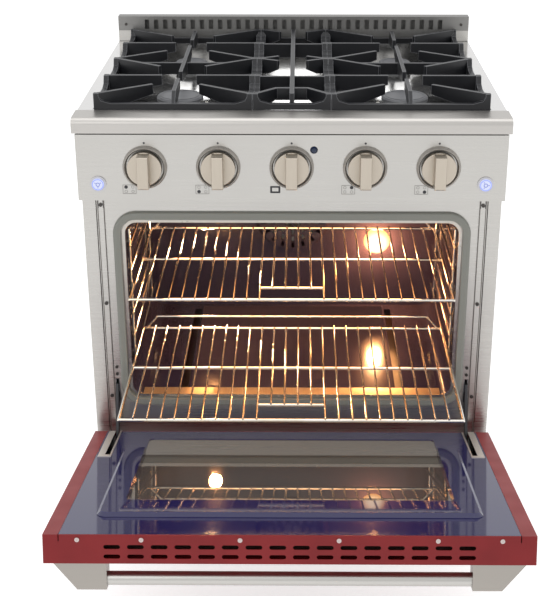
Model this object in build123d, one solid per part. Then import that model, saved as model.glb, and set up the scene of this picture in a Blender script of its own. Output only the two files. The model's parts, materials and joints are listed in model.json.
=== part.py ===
"""Freestanding gas range with a drop-down oven door, built as separate named pieces.

Working axes: X across the range, Y from front to back with 0 on the front frame sheet, Z up from
the floor. The finished pieces are all moved along Y together, so that the row's origin is the
middle of the footprint of the whole range with its door open and its racks drawn out.
The door is drawn shut, in its own axes (X across, Y inwards, Z up from the hinge line), and is
then swung open about the hinge line. All sizes are in millimetres.
"""
from build123d import *
import math
import os

# ---- driving dimensions -------------------------------------------------------------------
WIDTH = 757.0              # body width, 29.8 in
SHEET = 1.5                # folded sheet steel
BODY_DEPTH = 600.0         # front frame sheet to rear panel
LEG_HEIGHT = 100.0
RIM_Z = 900.0              # cooktop rim above the floor
HALF = WIDTH / 2
INNER_HALF = HALF - SHEET
FRAME_BOTTOM_Z = LEG_HEIGHT + 116
RETURN_X = HALF - 23.5     # inner edge of the side panels' front returns
STRIP_X = (HALF - 39, HALF - 27)
LEG_X = HALF - 48.5
LEG_INSET = 60.0           # leg axis from the front frame and from the rear panel

# vent trim behind the grates
GUARD_HEIGHT = 53.0        # above the rim
GUARD_DEPTH = 25.0
GUARD_TOP_Z = RIM_Z + GUARD_HEIGHT
GUARD_SCREW_X = HALF - 16.5
GUARD_SCREW_Z = GUARD_TOP_Z - 17
GUARD_SLOT_PITCH = 19.8

# control panel and front ledge
PANEL_FACE_Y = -35.0
PANEL_Z = (RIM_Z - 153, RIM_Z - 32)
LEDGE_FRONT_Y = -49.0
LEDGE_BOTTOM_Z = RIM_Z - 26
LEDGE_OVERHANG = 3.0       # ledge past the body, each side
SIDE_TOP_Z = LEDGE_BOTTOM_Z - 2

# oven mouth and cavity
MOUTH_HALF = HALF - 67.5
MOUTH_Z = (334.0, PANEL_Z[0] - 48)
MOUTH_RADIUS = 28.0
GASKET_WIDTH = 15.0
GASKET_DEPTH = 7.5
CAVITY_DEPTH = BODY_DEPTH - 160
FLOOR_SLOT = (MOUTH_HALF - 109, MOUTH_HALF - 95)    # slots in the floor, from the centre plane
FAN_Z = (MOUTH_Z[0] + MOUTH_Z[1]) / 2 + 33.5
FAN_RADIUS = 60.0
FAN_COVER_RADIUS = 84.0
LAMP_X = MOUTH_HALF * 0.592
LAMP_Z = FAN_Z - 63

# door
HINGE_Y = -44.0            # hinge line in front of the frame sheet
HINGE_Z = FRAME_BOTTOM_Z + 24
OPEN_ANGLE = 78.0          # degrees from shut
DOOR_TOP = PANEL_Z[0] - 4 - HINGE_Z     # hinge line to the door's upper end
DOOR_BOTTOM = -12.0
DOOR_IN = 36.0             # hinge line to the inner face
DOOR_OUT = -11.0           # hinge line to the outer face
LINER_HALF = RETURN_X - 1
WINDOW_HALF = HALF - 110.5
WINDOW_Z = (34.0, DOOR_TOP - 131)
OUTER_WINDOW_HALF = HALF - 153.5
OUTER_WINDOW_Z = (120.0, DOOR_TOP - 141)
RIDGE_HALF = MOUTH_HALF - 3
RIDGE_Z = (MOUTH_Z[0] - HINGE_Z + 4, DOOR_TOP - 71)
RIDGE_RISE = 7.0
END_SLOT_PITCH = WIDTH * 0.048
ARM_X = (HALF - 47, HALF - 42)          # hinge arm plate
ARM_RISE = 118.0           # hinge line to the arm's hook
ARM_NOTCH_TOP = ARM_RISE + 12              # upper end of the slots in the door that clear the arm
ARM_SLOT_Z = (HINGE_Z + 86, HINGE_Z + 134)
PIN_RADIUS = 4.0
RUNNING = 0.05             # radial clearance of shafts that turn
HANDLE_OFFSET = 37.0       # tube centre beyond the outer face
HANDLE_RADIUS = 11.0
HANDLE_HALF = HALF - 94.5
HANDLE_HEIGHT = DOOR_TOP - 31           # along the door from the hinge line

# oven racks
RACK_HALF = MOUTH_HALF - 10             # to the centre of a side bar
RACK_DEPTH = CAVITY_DEPTH - 62
RACK_BAR = 3.0             # radius of a frame bar
RACK_WIRE = 1.8
RACK_PITCH = 24.0
UPPER_RACK = (543.0, -9.0)     # height, and front bar with the door open
LOWER_RACK = (405.0, -217.0)
RAIL_RADIUS = 2.5
RAIL_PITCH = 46.0

# cooktop
PAN_HALF = HALF - 26.5
PAN_Y = (14.0, BODY_DEPTH - 32)
PAN_FLOOR_Z = RIM_Z - 30
GRATE_TOP_Z = RIM_Z + 28
GRATE_LOW_Z = RIM_Z - 2
GRATE_RAIL_Z = RIM_Z + 10    # top of a grate's outer bars between the bar roots
GRATE_BAR = 9.0
GRATE_GAP = 1.0
GRATE_INSET = 1.5          # grates inside the pan's walls
CENTRE_GRATE = 138.0
SIDE_GRATE = PAN_HALF - 2 - CENTRE_GRATE / 2 - GRATE_GAP
SIDE_GRATE_X = CENTRE_GRATE / 2 + GRATE_GAP + SIDE_GRATE / 2
GRATE_Y = (PAN_Y[0] + GRATE_INSET, PAN_Y[1] - GRATE_INSET)
CELL_Y = [GRATE_Y[0] + (GRATE_Y[1] - GRATE_Y[0]) * part for part in (0.25, 0.75)]
CAP_TOP_Z = PAN_FLOOR_Z + 20
FRONT_CAP_RADIUS = 43.5
REAR_CAP_RADIUS = 33.0

# controls
KNOB_Z = PANEL_Z[0] + 62
KNOB_PITCH = (WIDTH - 112) / 5
KNOB_RADIUS = 30.5
BEZEL_RADIUS = 39.0
BUTTON_X = HALF - 36.5
BUTTON_Z = PANEL_Z[0] + 31
BUTTON_RADIUS = 11.0
SIGNAL_LAMP = (39.0, KNOB_Z + 32)       # across, and height

# supplies through the rear panel, and the gas pipes
GAS_X = HALF - 128.5
GAS_Z = LEG_HEIGHT + 80
GAS_RADIUS = 10.65         # 1/2 in pipe
MANIFOLD_Y = 10.0
TUBE_Z = PAN_FLOOR_Z - 32

SIDES = (("left", -1), ("right", 1))

pieces = {}


# ---- small helpers ------------------------------------------------------------------------
def block(x, y, z):
    """A box from its low and high corner along each axis."""
    size = (x[1] - x[0], y[1] - y[0], z[1] - z[0])
    middle = ((x[0] + x[1]) / 2, (y[0] + y[1]) / 2, (z[0] + z[1]) / 2)
    return Pos(*middle) * Box(*size)


def group(shapes):
    """Separate solids that share one node."""
    return Compound(children=list(shapes))


def mirrored(side, x):
    """A pair of distances from the centre plane, put on one side of it."""
    return tuple(sorted(side * value for value in x))


def rod_x(x, y, z, radius):
    return Pos((x[0] + x[1]) / 2, y, z) * Rot(0, 90, 0) * Cylinder(radius, x[1] - x[0])


def rod_y(x, y, z, radius):
    return Pos(x, (y[0] + y[1]) / 2, z) * Rot(90, 0, 0) * Cylinder(radius, y[1] - y[0])


def rod_z(x, y, z, radius):
    return Pos(x, y, (z[0] + z[1]) / 2) * Cylinder(radius, z[1] - z[0])


def rod_between(start, end, radius):
    """A round bar with ball ends between two points."""
    line = Vector(*end) - Vector(*start)
    middle = (Vector(*start) + Vector(*end)) * 0.5
    bar = Plane(origin=middle, z_dir=line) * Cylinder(radius, line.length)
    return bar + Pos(*start) * Sphere(radius) + Pos(*end) * Sphere(radius)


def tube_run(points, radius):
    """A bent tube as straight runs with ball joints."""
    run = rod_between(points[0], points[1], radius)
    for start, end in zip(points[1:-1], points[2:]):
        run += rod_between(start, end, radius)
    return run


def rounded_plate(half, z, radius, y):
    """A plate across Y with rounded corners, given by its half width and its Z limits."""
    outline = Pos(0, (z[0] + z[1]) / 2) * RectangleRounded(2 * half, z[1] - z[0], radius)
    face = Plane(origin=(0, y[1], 0), x_dir=(1, 0, 0), z_dir=(0, -1, 0)) * outline
    return extrude(face, y[1] - y[0])


def turned(profile, x, z):
    """A ring or disc about an axis along Y, from (radius, y) points of half its section."""
    face = make_face(Plane.XY * Polyline(*profile, close=True))
    return Pos(x, 0, z) * revolve(face, Axis.Y)


def turned_up(profile, x, y):
    """A ring or disc about a vertical axis, from (radius, z) points of half its section."""
    face = make_face(Plane.XZ * Polyline(*profile, close=True))
    return Pos(x, y, 0) * revolve(face, Axis.Z)


def screw_head(x, y, z, radius=3.5, height=2.0):
    """A pan head standing forward of a face at y, with a cross recess."""
    head = rod_y(x, (y - height, y), z, radius)
    cross = block((x - 2, x + 2), (y - height - 1, y - height + 0.8), (z - 0.5, z + 0.5))
    cross += block((x - 0.5, x + 0.5), (y - height - 1, y - height + 0.8), (z - 2, z + 2))
    return head - cross


# ---- cabinet ------------------------------------------------------------------------------
def cabinet():
    panels = []
    for _, side in SIDES:
        panel = block(mirrored(side, (INNER_HALF, HALF)), (0, BODY_DEPTH - SHEET), (LEG_HEIGHT, SIDE_TOP_Z))
        panel += block(mirrored(side, (RETURN_X, HALF)), (0, SHEET), (FRAME_BOTTOM_Z, SIDE_TOP_Z))
        panel += block(mirrored(side, (RETURN_X, RETURN_X + SHEET)), (0, 12), (FRAME_BOTTOM_Z, SIDE_TOP_Z))
        panel += block(mirrored(side, (RETURN_X - 5, RETURN_X + SHEET)), (12, 12 + SHEET),
                       (FRAME_BOTTOM_Z, PANEL_Z[0]))
        panel += block(mirrored(side, (HALF - 18, HALF)), (BODY_DEPTH - 2 * SHEET, BODY_DEPTH - SHEET),
                       (LEG_HEIGHT, SIDE_TOP_Z))
        panels.append(panel)
    pieces["side_panels"] = group(panels)

    pan = block((-INNER_HALF, INNER_HALF), (0, BODY_DEPTH - 4), (LEG_HEIGHT, LEG_HEIGHT + 38))
    pan -= block((-INNER_HALF + 2, INNER_HALF - 2), (2, BODY_DEPTH - 6),
                 (LEG_HEIGHT + 2, LEG_HEIGHT + 39))
    pieces["base_pan"] = pan

    rear = block((-INNER_HALF, INNER_HALF), (BODY_DEPTH - SHEET, BODY_DEPTH), (LEG_HEIGHT, SIDE_TOP_Z))
    rear -= rod_y(GAS_X, (BODY_DEPTH - 5, BODY_DEPTH + 5), GAS_Z, 14)
    rear -= rod_y(-GAS_X, (BODY_DEPTH - 5, BODY_DEPTH + 5), GAS_Z, 11)
    for row in range(5):
        for column in range(9):
            x = (column - 4) * 34.0
            z = FAN_Z - 42 + row * 16.0
            rear -= block((x - 12, x + 12), (BODY_DEPTH - 5, BODY_DEPTH + 5), (z - 3, z + 3))
    pieces["rear_panel"] = rear

    kick = block((-HALF + 1, HALF - 1), (-SHEET, 0), (LEG_HEIGHT + 2, HINGE_Z + DOOR_BOTTOM - 5))
    kick += block((-HALF + 1, HALF - 1), (-12, 0), (LEG_HEIGHT + 2, LEG_HEIGHT + 2 + SHEET))
    pieces["kick_plate"] = kick

    legs = []
    for y in (LEG_INSET, BODY_DEPTH - LEG_INSET):
        for _, side in SIDES:
            legs.append(turned_up([(0, 0), (25, 0), (25, 7), (15, 12), (15, 60), (19, 60),
                                   (19, LEG_HEIGHT), (0, LEG_HEIGHT)], side * LEG_X, y))
    pieces["levelling_legs"] = group(legs)


def front_frame():
    """The sheet round the oven mouth, its gasket, and the screws and strips of the cabinet."""
    half = RETURN_X - 2
    frame = block((-half, half), (0, SHEET), (FRAME_BOTTOM_Z, PANEL_Z[0] - 1))
    frame -= rounded_plate(MOUTH_HALF, MOUTH_Z, MOUTH_RADIUS, (-1, SHEET + 1))
    for _, side in SIDES:
        slot = mirrored(side, (ARM_X[0] - 1.5, ARM_X[1] + 1.5))
        frame -= block(slot, (-1, SHEET + 1), ARM_SLOT_Z)
        frame += block(mirrored(side, (half - SHEET, half)), (0, 12), (FRAME_BOTTOM_Z, PANEL_Z[0] - 1))
    pieces["front_frame"] = frame

    strips = []
    screws = []
    for _, side in SIDES:
        strips.append(block(mirrored(side, STRIP_X), (-SHEET, 0), (HINGE_Z + 8, PANEL_Z[0] - 3)))
        for z in (HINGE_Z + 98, (HINGE_Z + 78 + PANEL_Z[0]) / 2, PANEL_Z[0] - 20):
            screws.append(screw_head(side * (STRIP_X[0] + 6), -SHEET, z))
        for z in (ARM_SLOT_Z[1] + 10, ARM_SLOT_Z[1] + 25):
            screws.append(screw_head(side * (ARM_X[0] + 2), 0, z, 3.0))
    for _, side in SIDES:
        guard_y = BODY_DEPTH - GUARD_DEPTH
        strips.append(block(mirrored(side, (HALF - 28, HALF)), (guard_y - 0.9, guard_y),
                            (RIM_Z + 1, RIM_Z + GUARD_HEIGHT - 30)))
        screws.append(rod_y(side * GUARD_SCREW_X, (guard_y - 1.5, guard_y + 6), GUARD_SCREW_Z, 2.95))
    pieces["trim_strips"] = group(strips)
    pieces["frame_screws"] = group(screws)

    outer_z = (MOUTH_Z[0] - GASKET_WIDTH, MOUTH_Z[1] + GASKET_WIDTH)
    ring = rounded_plate(MOUTH_HALF + GASKET_WIDTH, outer_z, MOUTH_RADIUS + GASKET_WIDTH,
                         (-GASKET_DEPTH, 0))
    ring = fillet(ring.faces().sort_by(Axis.Y)[0].edges(), 5.0)
    ring -= rounded_plate(MOUTH_HALF + 1, (MOUTH_Z[0] - 1, MOUTH_Z[1] + 1), MOUTH_RADIUS,
                          (-GASKET_DEPTH - 1, 1))
    pieces["oven_gasket"] = ring


def oven_liner():
    """The enamelled box of the oven: mouth flange, walls, floor slots, and what screws to it."""
    liner = rounded_plate(MOUTH_HALF + 16, (MOUTH_Z[0] - 16, MOUTH_Z[1] + 16),
                          MOUTH_RADIUS + 16, (SHEET, 2 * SHEET))
    liner += rounded_plate(MOUTH_HALF + SHEET, (MOUTH_Z[0] - SHEET, MOUTH_Z[1] + SHEET),
                           MOUTH_RADIUS + SHEET, (SHEET, CAVITY_DEPTH + SHEET))
    liner -= rounded_plate(MOUTH_HALF, MOUTH_Z, MOUTH_RADIUS, (-1, CAVITY_DEPTH))
    liner -= rod_y(0, (CAVITY_DEPTH - 1, CAVITY_DEPTH + 3), FAN_Z, 12)
    liner -= rod_y(LAMP_X, (CAVITY_DEPTH - 1, CAVITY_DEPTH + 3), LAMP_Z, 17)
    for _, side in SIDES:
        liner -= block(mirrored(side, FLOOR_SLOT), (35, CAVITY_DEPTH - 25), (MOUTH_Z[0] - 3, MOUTH_Z[0] + 1))
    pieces["oven_liner"] = liner

    floor_half = FLOOR_SLOT[0] - 4
    pieces["oven_floor_panel"] = block((-floor_half, floor_half), (12, CAVITY_DEPTH - 15),
                                       (MOUTH_Z[0], MOUTH_Z[0] + 2))

    wrap_half = MOUTH_HALF + 30
    wrap = block((-wrap_half, wrap_half), (70, CAVITY_DEPTH), (MOUTH_Z[0], MOUTH_Z[1] + 34))
    inner = MOUTH_HALF + SHEET
    wrap -= block((-inner, inner), (69, CAVITY_DEPTH + 1), (MOUTH_Z[0] - 1, MOUTH_Z[1] + SHEET))
    pieces["insulation_wrap"] = wrap

    burner = block((-120, 120), (90, CAVITY_DEPTH - 60), (MOUTH_Z[1] - 14, MOUTH_Z[1]))
    for row in range(9):
        y = 115.0 + row * (CAVITY_DEPTH - 200) / 8
        burner -= block((-105, 105), (y - 4, y + 4), (MOUTH_Z[1] - 15, MOUTH_Z[1] - 8))
    bake = rod_y(0, (60, CAVITY_DEPTH - 40), MOUTH_Z[0] - 32, 16)
    bake += rod_y(0, (20, 60), MOUTH_Z[0] - 32, 10)
    for y in (60.0, CAVITY_DEPTH - 40):
        bake += block((-20, 20), (y - 3, y), (MOUTH_Z[0] - 32, MOUTH_Z[0] - SHEET))
    for row in range(16):
        y = 80.0 + row * (CAVITY_DEPTH - 120) / 16
        bake -= rod_x((-20, 20), y, MOUTH_Z[0] - 24, 1.5)
    pieces["oven_burners"] = group([burner, bake])

    lens = turned([(0, CAVITY_DEPTH - 20), (16, CAVITY_DEPTH - 18), (25, CAVITY_DEPTH - 11),
                   (29, CAVITY_DEPTH), (0, CAVITY_DEPTH)], LAMP_X, LAMP_Z)
    pieces["oven_lamp_lens"] = lens
    socket = rod_y(LAMP_X, (CAVITY_DEPTH, CAVITY_DEPTH + 40), LAMP_Z, 16.5)
    pieces["oven_lamp_socket"] = socket


def convection_fan():
    """Fan wheel behind a slotted cover on the oven's back wall, with its motor behind the wall."""
    face_y = CAVITY_DEPTH - 24
    rim = FAN_COVER_RADIUS
    cover = turned([(0, face_y), (rim - 10, face_y), (rim, CAVITY_DEPTH), (rim - 2, CAVITY_DEPTH),
                    (rim - 11.5, face_y + 2), (0, face_y + 2)], 0, FAN_Z)
    cover -= rod_y(0, (face_y - 1, face_y + 3), FAN_Z, 22)
    cover += block((-24, 24), (face_y, face_y + 2), (FAN_Z - 2, FAN_Z + 2))
    cover += block((-2, 2), (face_y, face_y + 2), (FAN_Z - 24, FAN_Z + 24))
    for ring_radius, count in ((rim - 50, 10), (rim - 34, 14), (rim - 20, 18)):
        for index in range(count):
            angle = 360.0 * index / count
            slot = Rot(0, angle, 0) * block((-3.5, 3.5), (face_y - 1, face_y + 3),
                                            (ring_radius - 6, ring_radius + 6))
            cover -= Pos(0, 0, FAN_Z) * slot
    pieces["fan_cover"] = cover

    hub_y = face_y + 5
    fan = rod_y(0, (hub_y, hub_y + 14), FAN_Z, 10)
    fan += rod_y(0, (hub_y + 12, CAVITY_DEPTH + 16), FAN_Z, 4)
    fan += rod_y(0, (hub_y + 12.5, hub_y + 14), FAN_Z, FAN_RADIUS)
    for index in range(10):
        blade = Rot(0, 36.0 * index, 0) * block((-0.8, 0.8), (hub_y, hub_y + 13), (9, FAN_RADIUS - 2))
        fan += Pos(0, 0, FAN_Z) * blade
    pieces["convection_fan"] = fan

    motor = rod_y(0, (CAVITY_DEPTH + 8, CAVITY_DEPTH + 62), FAN_Z, 40)
    motor += block((-60, 60), (CAVITY_DEPTH + SHEET, CAVITY_DEPTH + 8), (FAN_Z - 12, FAN_Z + 12))
    motor -= rod_y(0, (CAVITY_DEPTH, CAVITY_DEPTH + 18), FAN_Z, 4 + RUNNING)
    motor -= rod_y(0, (CAVITY_DEPTH, CAVITY_DEPTH + 8), FAN_Z, 8)
    pieces["fan_motor"] = motor


# ---- oven racks and their guides ----------------------------------------------------------
def rail_heights():
    """Heights of the guide rails: a rail lies just under the side bar of a rack at its level."""
    drop = RACK_BAR + RAIL_RADIUS + 0.3
    return [LOWER_RACK[0] - drop + RAIL_PITCH * level for level in range(6)]


def rack_guides():
    guides = []
    for _, side in SIDES:
        x = side * (RACK_HALF + 2.5)
        wall = side * MOUTH_HALF
        post_x = side * (MOUTH_HALF - 3.4)
        guide = None
        for z in rail_heights():
            rail = rod_y(x, (40, CAVITY_DEPTH - 35), z, RAIL_RADIUS)
            for y in (70.0, CAVITY_DEPTH - 65):
                rail += rod_x(tuple(sorted((x, wall))), y, z, RAIL_RADIUS - 0.5)
            guide = rail if guide is None else guide + rail
        low, high = rail_heights()[0] - 25, rail_heights()[-1] + 25
        for y in (70.0, CAVITY_DEPTH - 65):
            guide += rod_z(post_x, y, (low, high), RAIL_RADIUS + 0.4)
        guides.append(guide)
    pieces["rack_guides"] = group(guides)


def rack(name, height, front_y):
    """A chrome wire rack: bar frame, wires along the pull, hand grip bar and raised back stop."""
    back_y = front_y + RACK_DEPTH
    wire_z = height + RACK_BAR + RACK_WIRE - 0.8
    grip_y = front_y + 56.0
    stop_z = height + 24.0
    stop_half = RACK_HALF - 29

    shape = rod_x((-RACK_HALF, RACK_HALF), front_y, height, RACK_BAR)
    shape += rod_x((-RACK_HALF, RACK_HALF), (front_y + back_y) / 2 + 12, height, RACK_BAR)
    shape += rod_x((-RACK_HALF, RACK_HALF), back_y, height, RACK_BAR)
    bars = []
    for _, side in SIDES:
        x = side * RACK_HALF
        bars.append(rod_y(x, (front_y, back_y), height, RACK_BAR))
        bars.append(Pos(x, front_y, height) * Sphere(RACK_BAR))
        bars.append(Pos(x, back_y, height) * Sphere(RACK_BAR))
        foot = (side * (RACK_HALF - 6), back_y, height)
        bars.append(rod_between(foot, (side * stop_half, back_y + 5, stop_z), 2.2))
    bars.append(rod_x((-stop_half, stop_half), back_y + 5, stop_z, 2.2))
    bars.append(rod_x((-2.5 * RACK_PITCH, 2.5 * RACK_PITCH), grip_y, height, RACK_BAR - 0.5))
    count = round(2 * RACK_HALF / RACK_PITCH) - 1
    for index in range(count):
        x = (index - (count - 1) / 2) * RACK_PITCH
        start = grip_y - 3 if abs(x) < 2 * RACK_PITCH else front_y - 2
        bars.append(rod_y(x, (start, back_y + 2), wire_z, RACK_WIRE))
    pieces[name] = shape.fuse(*bars)


# ---- door ---------------------------------------------------------------------------------
def hung(shape):
    """Put a door piece, drawn shut about the hinge line, into its open rest place."""
    return Pos(0, HINGE_Y, HINGE_Z) * Rot(OPEN_ANGLE, 0, 0) * shape


def door_shell():
    """The painted outer tray: front skin, side, top and bottom walls, and the folded side lips."""
    outer = block((-HALF, HALF), (DOOR_OUT, DOOR_IN), (DOOR_BOTTOM, DOOR_TOP))
    hollow = block((-INNER_HALF, INNER_HALF), (DOOR_OUT + SHEET, DOOR_IN - SHEET),
                   (DOOR_BOTTOM + SHEET, DOOR_TOP - SHEET))
    back = block((-LINER_HALF - 0.5, LINER_HALF + 0.5), (DOOR_IN - 2 * SHEET, DOOR_IN + 1),
                 (DOOR_BOTTOM + SHEET, DOOR_TOP - SHEET))
    window = rounded_plate(OUTER_WINDOW_HALF, OUTER_WINDOW_Z, 14, (DOOR_OUT - 1, DOOR_OUT + 3))
    shell = outer - hollow - back - window
    shell = shell - hinge_notches((DOOR_OUT + 3, DOOR_IN + 1))
    slots = []
    for row_y in (0.5, 16.0):
        for index in range(16):
            x = (index - 7.5) * END_SLOT_PITCH
            slot = block((x - 9.5, x + 9.5), (row_y - 3.4, row_y + 3.4), (DOOR_TOP - 3, DOOR_TOP + 1))
            slots.append(slot)
            slots.append(rod_z(x - 9.5, row_y, (DOOR_TOP - 3, DOOR_TOP + 1), 3.4))
            slots.append(rod_z(x + 9.5, row_y, (DOOR_TOP - 3, DOOR_TOP + 1), 3.4))
    for _, side in SIDES:
        fold = mirrored(side, (LINER_HALF - 0.5, LINER_HALF + 1))
        slots.append(block(fold, (DOOR_IN - 11, DOOR_IN + 1), (DOOR_TOP - 3, DOOR_TOP + 1)))
    pieces["door_shell"] = hung(shell.cut(*slots))


def hinge_notches(y):
    """The slots near the door's bottom corners that the hinge arms pass through."""
    notches = None
    for _, side in SIDES:
        x = mirrored(side, (ARM_X[0] - 2, ARM_X[1] + 2))
        notch = block(x, y, (DOOR_BOTTOM - 1, ARM_NOTCH_TOP))
        notches = notch if notches is None else notches + notch
    return notches


def door_liner():
    """The blue enamelled inner sheet, with its pressed ridge round the sides and top."""
    face = DOOR_IN
    liner = block((-LINER_HALF, LINER_HALF), (face - SHEET, face),
                  (DOOR_BOTTOM + SHEET + 0.5, DOOR_TOP - SHEET - 0.5))
    ridge = rounded_plate(RIDGE_HALF, RIDGE_Z, 16, (face - SHEET, face + RIDGE_RISE))
    top_edges = ridge.faces().sort_by(Axis.Y)[-1].edges()
    ridge = chamfer(top_edges, RIDGE_RISE - 1)
    opening = rounded_plate(WINDOW_HALF, (WINDOW_Z[0], WINDOW_Z[1]), 8,
                            (face - SHEET - 1, face + RIDGE_RISE + 1))
    hollow = rounded_plate(RIDGE_HALF - SHEET - 5, (RIDGE_Z[0] - 60, RIDGE_Z[1] - SHEET - 5), 12,
                           (face - SHEET - 1, face + RIDGE_RISE - SHEET))
    liner = liner + ridge
    liner = liner - opening - (hollow & block((-400, 400), (0, 100), (WINDOW_Z[1] + 9, 600)))
    liner = liner - hinge_notches((face - SHEET - 1, face + 1))
    pieces["door_liner"] = hung(liner)

    plates = []
    for _, side in SIDES:
        x = mirrored(side, (MOUTH_HALF + GASKET_WIDTH + 0.6, ARM_X[1] + 14))
        plate = block(x, (face, face + 1.2), (DOOR_BOTTOM + SHEET + 1, ARM_NOTCH_TOP + 10))
        plates.append(plate - hinge_notches((face - 1, face + 3)))
    pieces["hinge_cover_plates"] = hung(group(plates))


def door_inside():
    """Both panes, the insulation frame between the sheets, and the end screws."""
    face = DOOR_IN - SHEET
    pane = block((-WINDOW_HALF - 9, WINDOW_HALF + 9), (face - 4, face),
                 (WINDOW_Z[0] - 9, WINDOW_Z[1] + 9))
    pieces["inner_glass"] = hung(pane)

    skin = DOOR_OUT + SHEET
    outer_pane = block((-OUTER_WINDOW_HALF - 8, OUTER_WINDOW_HALF + 8), (skin, skin + 4),
                       (OUTER_WINDOW_Z[0] - 8, OUTER_WINDOW_Z[1] + 8))
    pieces["outer_glass"] = hung(outer_pane)

    pack = block((-INNER_HALF + 1, INNER_HALF - 1), (skin, face - 4.5),
                 (DOOR_BOTTOM + SHEET + 1, DOOR_TOP - 30))
    pack -= block((-WINDOW_HALF + 6, WINDOW_HALF - 6), (skin - 1, face + 1),
                  (WINDOW_Z[0] + 6, WINDOW_Z[1] - 6))
    pack -= block((-OUTER_WINDOW_HALF - 12, OUTER_WINDOW_HALF + 12), (skin - 1, skin + 5),
                  (OUTER_WINDOW_Z[0] - 12, OUTER_WINDOW_Z[1] + 12))
    for _, side in SIDES:
        pocket = mirrored(side, (ARM_X[0] - 12, ARM_X[1] + 12))
        pack -= block(pocket, (skin - 1, face + 1), (DOOR_BOTTOM - 1, 122.0))
    pieces["door_insulation"] = hung(pack)

    screws = []
    for x in (HALF * 0.2, HALF * 0.6, HALF * 0.86):
        for side in (-1, 1):
            head = rod_z(side * x, 28.0, (DOOR_TOP, DOOR_TOP + 1.6), 3.6)
            head -= block((side * x - 2, side * x + 2), (27.5, 28.5), (DOOR_TOP + 0.8, DOOR_TOP + 2))
            head -= block((side * x - 0.5, side * x + 0.5), (26, 30), (DOOR_TOP + 0.8, DOOR_TOP + 2))
            screws.append(head)
    pieces["door_screws"] = hung(group(screws))


def door_handle():
    """A round tube between two tapered end brackets that stand off the outer face."""
    reach = HANDLE_OFFSET + HANDLE_RADIUS + 2
    brackets = []
    for _, side in SIDES:
        outline = [(HANDLE_HALF, 0), (HANDLE_HALF + 88, 0), (HANDLE_HALF + 46, -reach),
                   (HANDLE_HALF, -reach)]
        face = make_face(Plane.XY * Polyline(*[(side * x, DOOR_OUT + y) for x, y in outline], close=True))
        bracket = Pos(0, 0, HANDLE_HEIGHT - 15) * extrude(face, 30, dir=(0, 0, 1))
        brackets.append(bracket)
    pieces["handle_brackets"] = hung(group(brackets))
    tube = rod_x((-HANDLE_HALF, HANDLE_HALF), DOOR_OUT - HANDLE_OFFSET, HANDLE_HEIGHT, HANDLE_RADIUS)
    tube -= rod_x((-HANDLE_HALF, HANDLE_HALF), DOOR_OUT - HANDLE_OFFSET, HANDLE_HEIGHT,
                  HANDLE_RADIUS - SHEET)
    pieces["handle_tube"] = hung(tube)


def door_hinges():
    """Arms fixed in the cabinet, and the brackets and pins on the door that turn about them."""
    arms, receivers, brackets = [], [], []
    for _, side in SIDES:
        x = mirrored(side, ARM_X)
        reach = math.atan2(HINGE_Y, ARM_RISE)
        boss = 7.5
        tip = (0.0, HINGE_Z + ARM_RISE)
        normal = (math.cos(reach) * boss, math.sin(reach) * boss)
        outline = [(HINGE_Y - normal[0], HINGE_Z - normal[1]),
                   (HINGE_Y + normal[0], HINGE_Z + normal[1]),
                   (tip[0] + normal[0], tip[1] + normal[1] - 4),
                   (45.0, tip[1] - 8), (45.0, tip[1] + 8),
                   (tip[0] - normal[0], tip[1] + 8)]
        face = make_face(Plane.YZ * Polyline(*outline, close=True))
        arm = Pos(x[0], 0, 0) * extrude(face, ARM_X[1] - ARM_X[0], dir=(1, 0, 0))
        arm += rod_x(x, HINGE_Y, HINGE_Z, boss)
        arm -= rod_x((x[0] - 1, x[1] + 1), HINGE_Y, HINGE_Z, PIN_RADIUS + RUNNING)
        arms.append(arm)

        cheeks = block(mirrored(side, (ARM_X[0] - 4, ARM_X[0])), (SHEET, 60), (tip[1] - 14, tip[1] + 14))
        cheeks += block(mirrored(side, (ARM_X[1], ARM_X[1] + 4)), (SHEET, 60),
                        (tip[1] - 14, tip[1] + 14))
        cheeks += block(mirrored(side, (ARM_X[0] - 4, ARM_X[1] + 4)), (45, 60),
                        (tip[1] - 14, tip[1] + 14))
        receivers.append(cheeks)

        skin = DOOR_OUT + SHEET
        bracket = block(mirrored(side, (ARM_X[0] - 6, ARM_X[1] + 6)), (skin, skin + 1.3), (-9.5, 60))
        for cheek in ((ARM_X[0] - 6, ARM_X[0] - 3), (ARM_X[1] + 3, ARM_X[1] + 6)):
            bracket += block(mirrored(side, cheek), (skin, 28), (-9.5, 60))
        pin_x = (ARM_X[0] - 8, ARM_X[1] + 8)
        bracket -= rod_x(mirrored(side, pin_x), 0, 0, PIN_RADIUS)
        brackets.append(bracket)
        brackets.append(rod_x(mirrored(side, pin_x), 0, 0, PIN_RADIUS))
    pieces["hinge_arms"] = group(arms)
    pieces["hinge_receivers"] = group(receivers)
    pieces["door_hinge_brackets"] = hung(group(brackets))


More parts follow.
